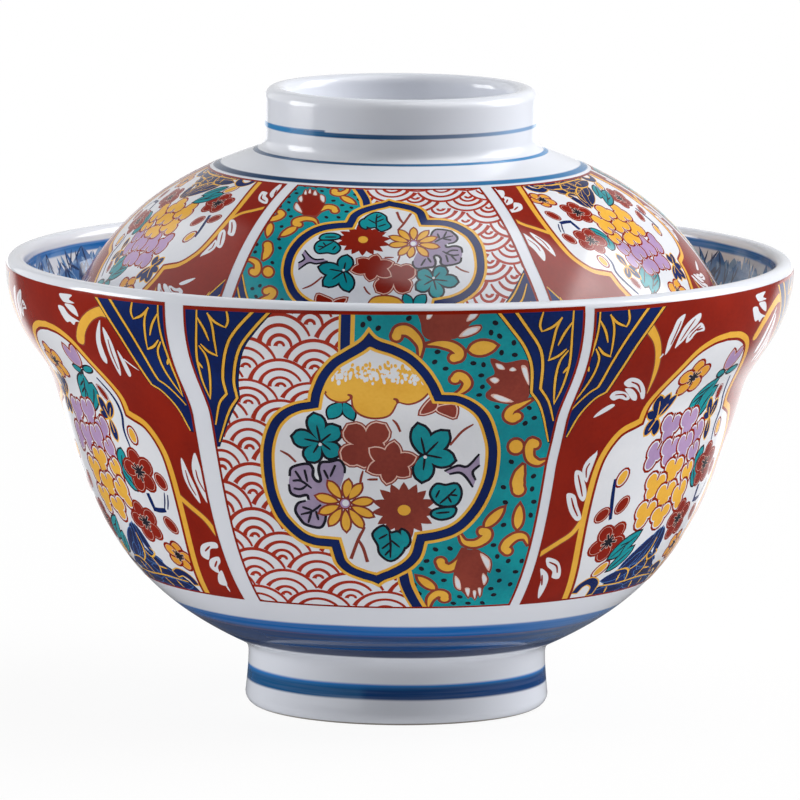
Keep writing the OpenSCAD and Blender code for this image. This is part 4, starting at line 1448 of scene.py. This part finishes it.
def plum_blossom(brush):
    """Plum blossom and its twigs on both sides of the peony, and the green leaves below it."""
    five_petals(brush, 15.2, 41.4, 5.0, "red", -98)
    brush.lines(PLUM_TWIGS, 1.15, "navy", (0.9, 0.8))
    brush.lines(PLUM_TIPS, 0.42, "navy")
    five_petals(brush, 10.5, 53.6, 4.8, "red", -104)
    five_petals(brush, 16.6, 61.0, 3.6, "orange", -70)
    five_petals(brush, -13.8, 56.0, 4.8, "red", -60)
    brush.lines([LEFT_TWIG], 1.0, "navy", (0.5, 0.9))
    brush.lined("red", brush.ovals(RED_PLUM_BUDS), "red", 0.34, 0.14, "blush")
    leaves = brush.petals([LOW_LEAF], 0.55, 0.6) + brush.petals([LOWEST_LEAF], 0.5, 0.6)
    brush.lined("teal", leaves, "ink", 0.42)
    brush.lines(LOW_LEAF_VEINS, 0.4)


def navy_leaves(brush):
    """The dark leaves at the foot of the window."""
    fit = brush.fit
    brush.lined("navy", brush.shapes([LEAF_MASS], 3), "ink", 0.3)
    for leaf in brush.petals(NAVY_LEAVES, 0.5, 0.55):
        brush.lined("navy", [leaf], fit.leaf_line, 0.18)
    for row in NAVY_LEAVES:
        base, tip = fit(row[:2], row[2:4])
        vein = points(base + 0.1 * (tip - base), base + 0.8 * (tip - base))
        brush.lay("ink", stroke(vein, 0.34 * fit.size, (0.6, 0.3)))
    brush.lines(NAVY_LEAF_VEINS, 0.5, "gold", (0.5, 0.5))
    for curl in CURLS:
        brush.lined("navy", [stroke(fit(*curl), 1.9 * fit.size, (0.8, 0.8))], "gold", 0.3)


print("peony:", len(LILAC_FLORETS), "lilac and", len(YELLOW_FLORETS), "yellow florets")

# %% The whole peony panel
PEONY_FAN = (((20, -2), (24.4, 2.6), (28.2, 8.2), (29.7, 14), (29.9, 19.8), (32, 22), (34.7, 30.2)),
             ((24.4, -2), (28.6, 2.6), (31.6, 7.2), (33, 12.2), (32.9, 18.2), (34.4, 20), (36, 24.4)))
WAISTED_WINDOW = (
    ((0, 8.1), (5.5, 8.8), (10.6, 11.4), (14.2, 17), (16.7, 23.2), (17.4, 27.6)),
    ((17.4, 27.6), (22.2, 29.7), (25.3, 34.6), (26, 40.5), (25, 49.2), (22.5, 58.3), (17.2, 71.2),
     (15.8, 75)))


def peony_panel(wall, fit):
    panel = EnamelPanel(wall, "red", PEONY_HANG * fit.scale[1], PEONY_SLANT[wall.body])
    brush = Brush(panel, fit)
    plumes_and_tendrils(brush)
    corner_fan(brush, -1, *PEONY_FAN, shift=-1.4)
    corner_fan(brush, 1, *PEONY_FAN)
    half = np.vstack([curve(fit(*part) - fit.shift)[:-1] for part in WAISTED_WINDOW])
    window = mirrored_ring(half) + (0.5 * fit.size, 0) + fit.shift
    brush.lay("gold", window)
    brush.lay("red", grow(window, -1.38 * fit.size))
    ground = grow(window, -2.02 * fit.size)
    brush.lay("white", ground)
    inner_brush = Brush(panel, fit, ground)
    for step in (top_of_window, peony, plum_blossom, navy_leaves):
        step(inner_brush)
    return panel


print("peony panel: a window of", 2 * len(WAISTED_WINDOW), "arcs")


# %% [markdown]
# ## Bamboo leaves inside the rim
# Under the glaze inside the rim runs a border of bamboo leaves, brushed quickly with watered blue: a press
# of the brush makes each leaf, broad ones first and thin dark ones over them. Only its upper part shows
# above the lid, so its depth is a guess. Leaves are laid in sprays by chance with a fixed seed. The border
# is cut into sixths, and every second one lies a hair higher, so that leaves can run over into the next.

# %% A border of leaves
BORDER_TOP, BORDER_LOW, BORDER_HALF_TURN = 0.2, 17, 36
RIM_SPRAY, LOW_SPRAY = (90, 0.5, 6), (-90, 5.5, 12)
SPRAY_TURNS = (-44, -20, 0, 18, 42)


class LeafBorder(EnamelPanel):
    """A sixth of the border: strokes alone, with nothing between them."""

    edging = None

    def border(self, inset, top):
        down = np.linspace(BORDER_TOP, BORDER_LOW, 30)
        half = self.wall.radius(down) * math.radians(BORDER_HALF_TURN)
        return np.vstack([np.c_[-half, down][::-1], np.c_[half, down]])


_, flare_up = cubic(flare, 28)
rim_inside = PaintedWall("bowl", flare_inside[::-1], -flare_up[::-1],
                         hand=-1, first=0.0, top=0.0, narrow_z=72.0)
border = LeafBorder(rim_inside, None)
hand = random.Random(21)
for tone, sprays, wide, count, share, highest in (("pale_blue", 26, 1.3, 4, 1, 1.6),
                                                  ("mid_blue", 40, 1.1, 4, 1, 0.35),
                                                  ("dark_blue", 26, 0.7, 2, 0.7, 0.35)):
    for _ in range(sprays):
        way, first, last = hand.choice((RIM_SPRAY, LOW_SPRAY))
        x, y = hand.uniform(-42, 42), hand.uniform(first, last)
        heading = way + hand.uniform(-22, 22)
        for turn in hand.sample(SPRAY_TURNS, count):
            long = hand.uniform(4.0, 8.5) * share
            reach = long * spin(points((1, 0)), heading + turn + hand.uniform(-8, 8))[0]
            leaf = petal((x, y), np.array([x, y]) + reach, wide * hand.uniform(0.7, 1.2), 0.45, 0.75, 7)
            if leaf[:, 1].min() > highest:
                border.lay(tone, np.clip(leaf, (-48, 0), (48, 16.8)))
for place in range(6):
    lift = 0.02 + 0.02 * (place % 2)
    border.fire(f"bowl_inside_leaf_border_{place + 1}", math.radians(30 + 60 * place), lift)

# %% [markdown]
# ## The second firing
# Six panels stand round each wall, the two designs in turn. The wave panel is a few degrees off the front,
# as it is in the photo, and the painter's spacing isn't quite even. A design is laid once for each fit and
# then fired on to every place that it has.

# %% Fire all panels
FRONT = {"bowl": -3.1, "lid": -3.9}
TURNS = {"bowl": (0, 59.7, 119.3, 179.0, 238.8, 298.6), "lid": (0, 60, 120, 180, 240, 300)}
SIDES = ("front", "right", "far_right", "back", "far_left", "left")
for wall, wave_fit, peony_fit, left_fit in ((bowl_wall, BOWL_FIT, BOWL_FIT, BOWL_FIT),
                                            (dome_wall, LID_WAVE_FIT, LID_PEONY_FIT, LID_LEFT_PEONY_FIT)):
    wave = "wave", wave_and_scroll_panel(wall, wave_fit)
    right_peony = "peony", peony_panel(wall, peony_fit)
    left_peony = right_peony if left_fit is peony_fit else ("peony", peony_panel(wall, left_fit))
    designs = (wave, right_peony, wave, right_peony, wave, left_peony)
    for turn, side, (title, panel) in zip(TURNS[wall.body], SIDES, designs):
        panel.fire(f"{wall.body}_{title}_panel_{side}", math.radians(FRONT[wall.body] + turn))
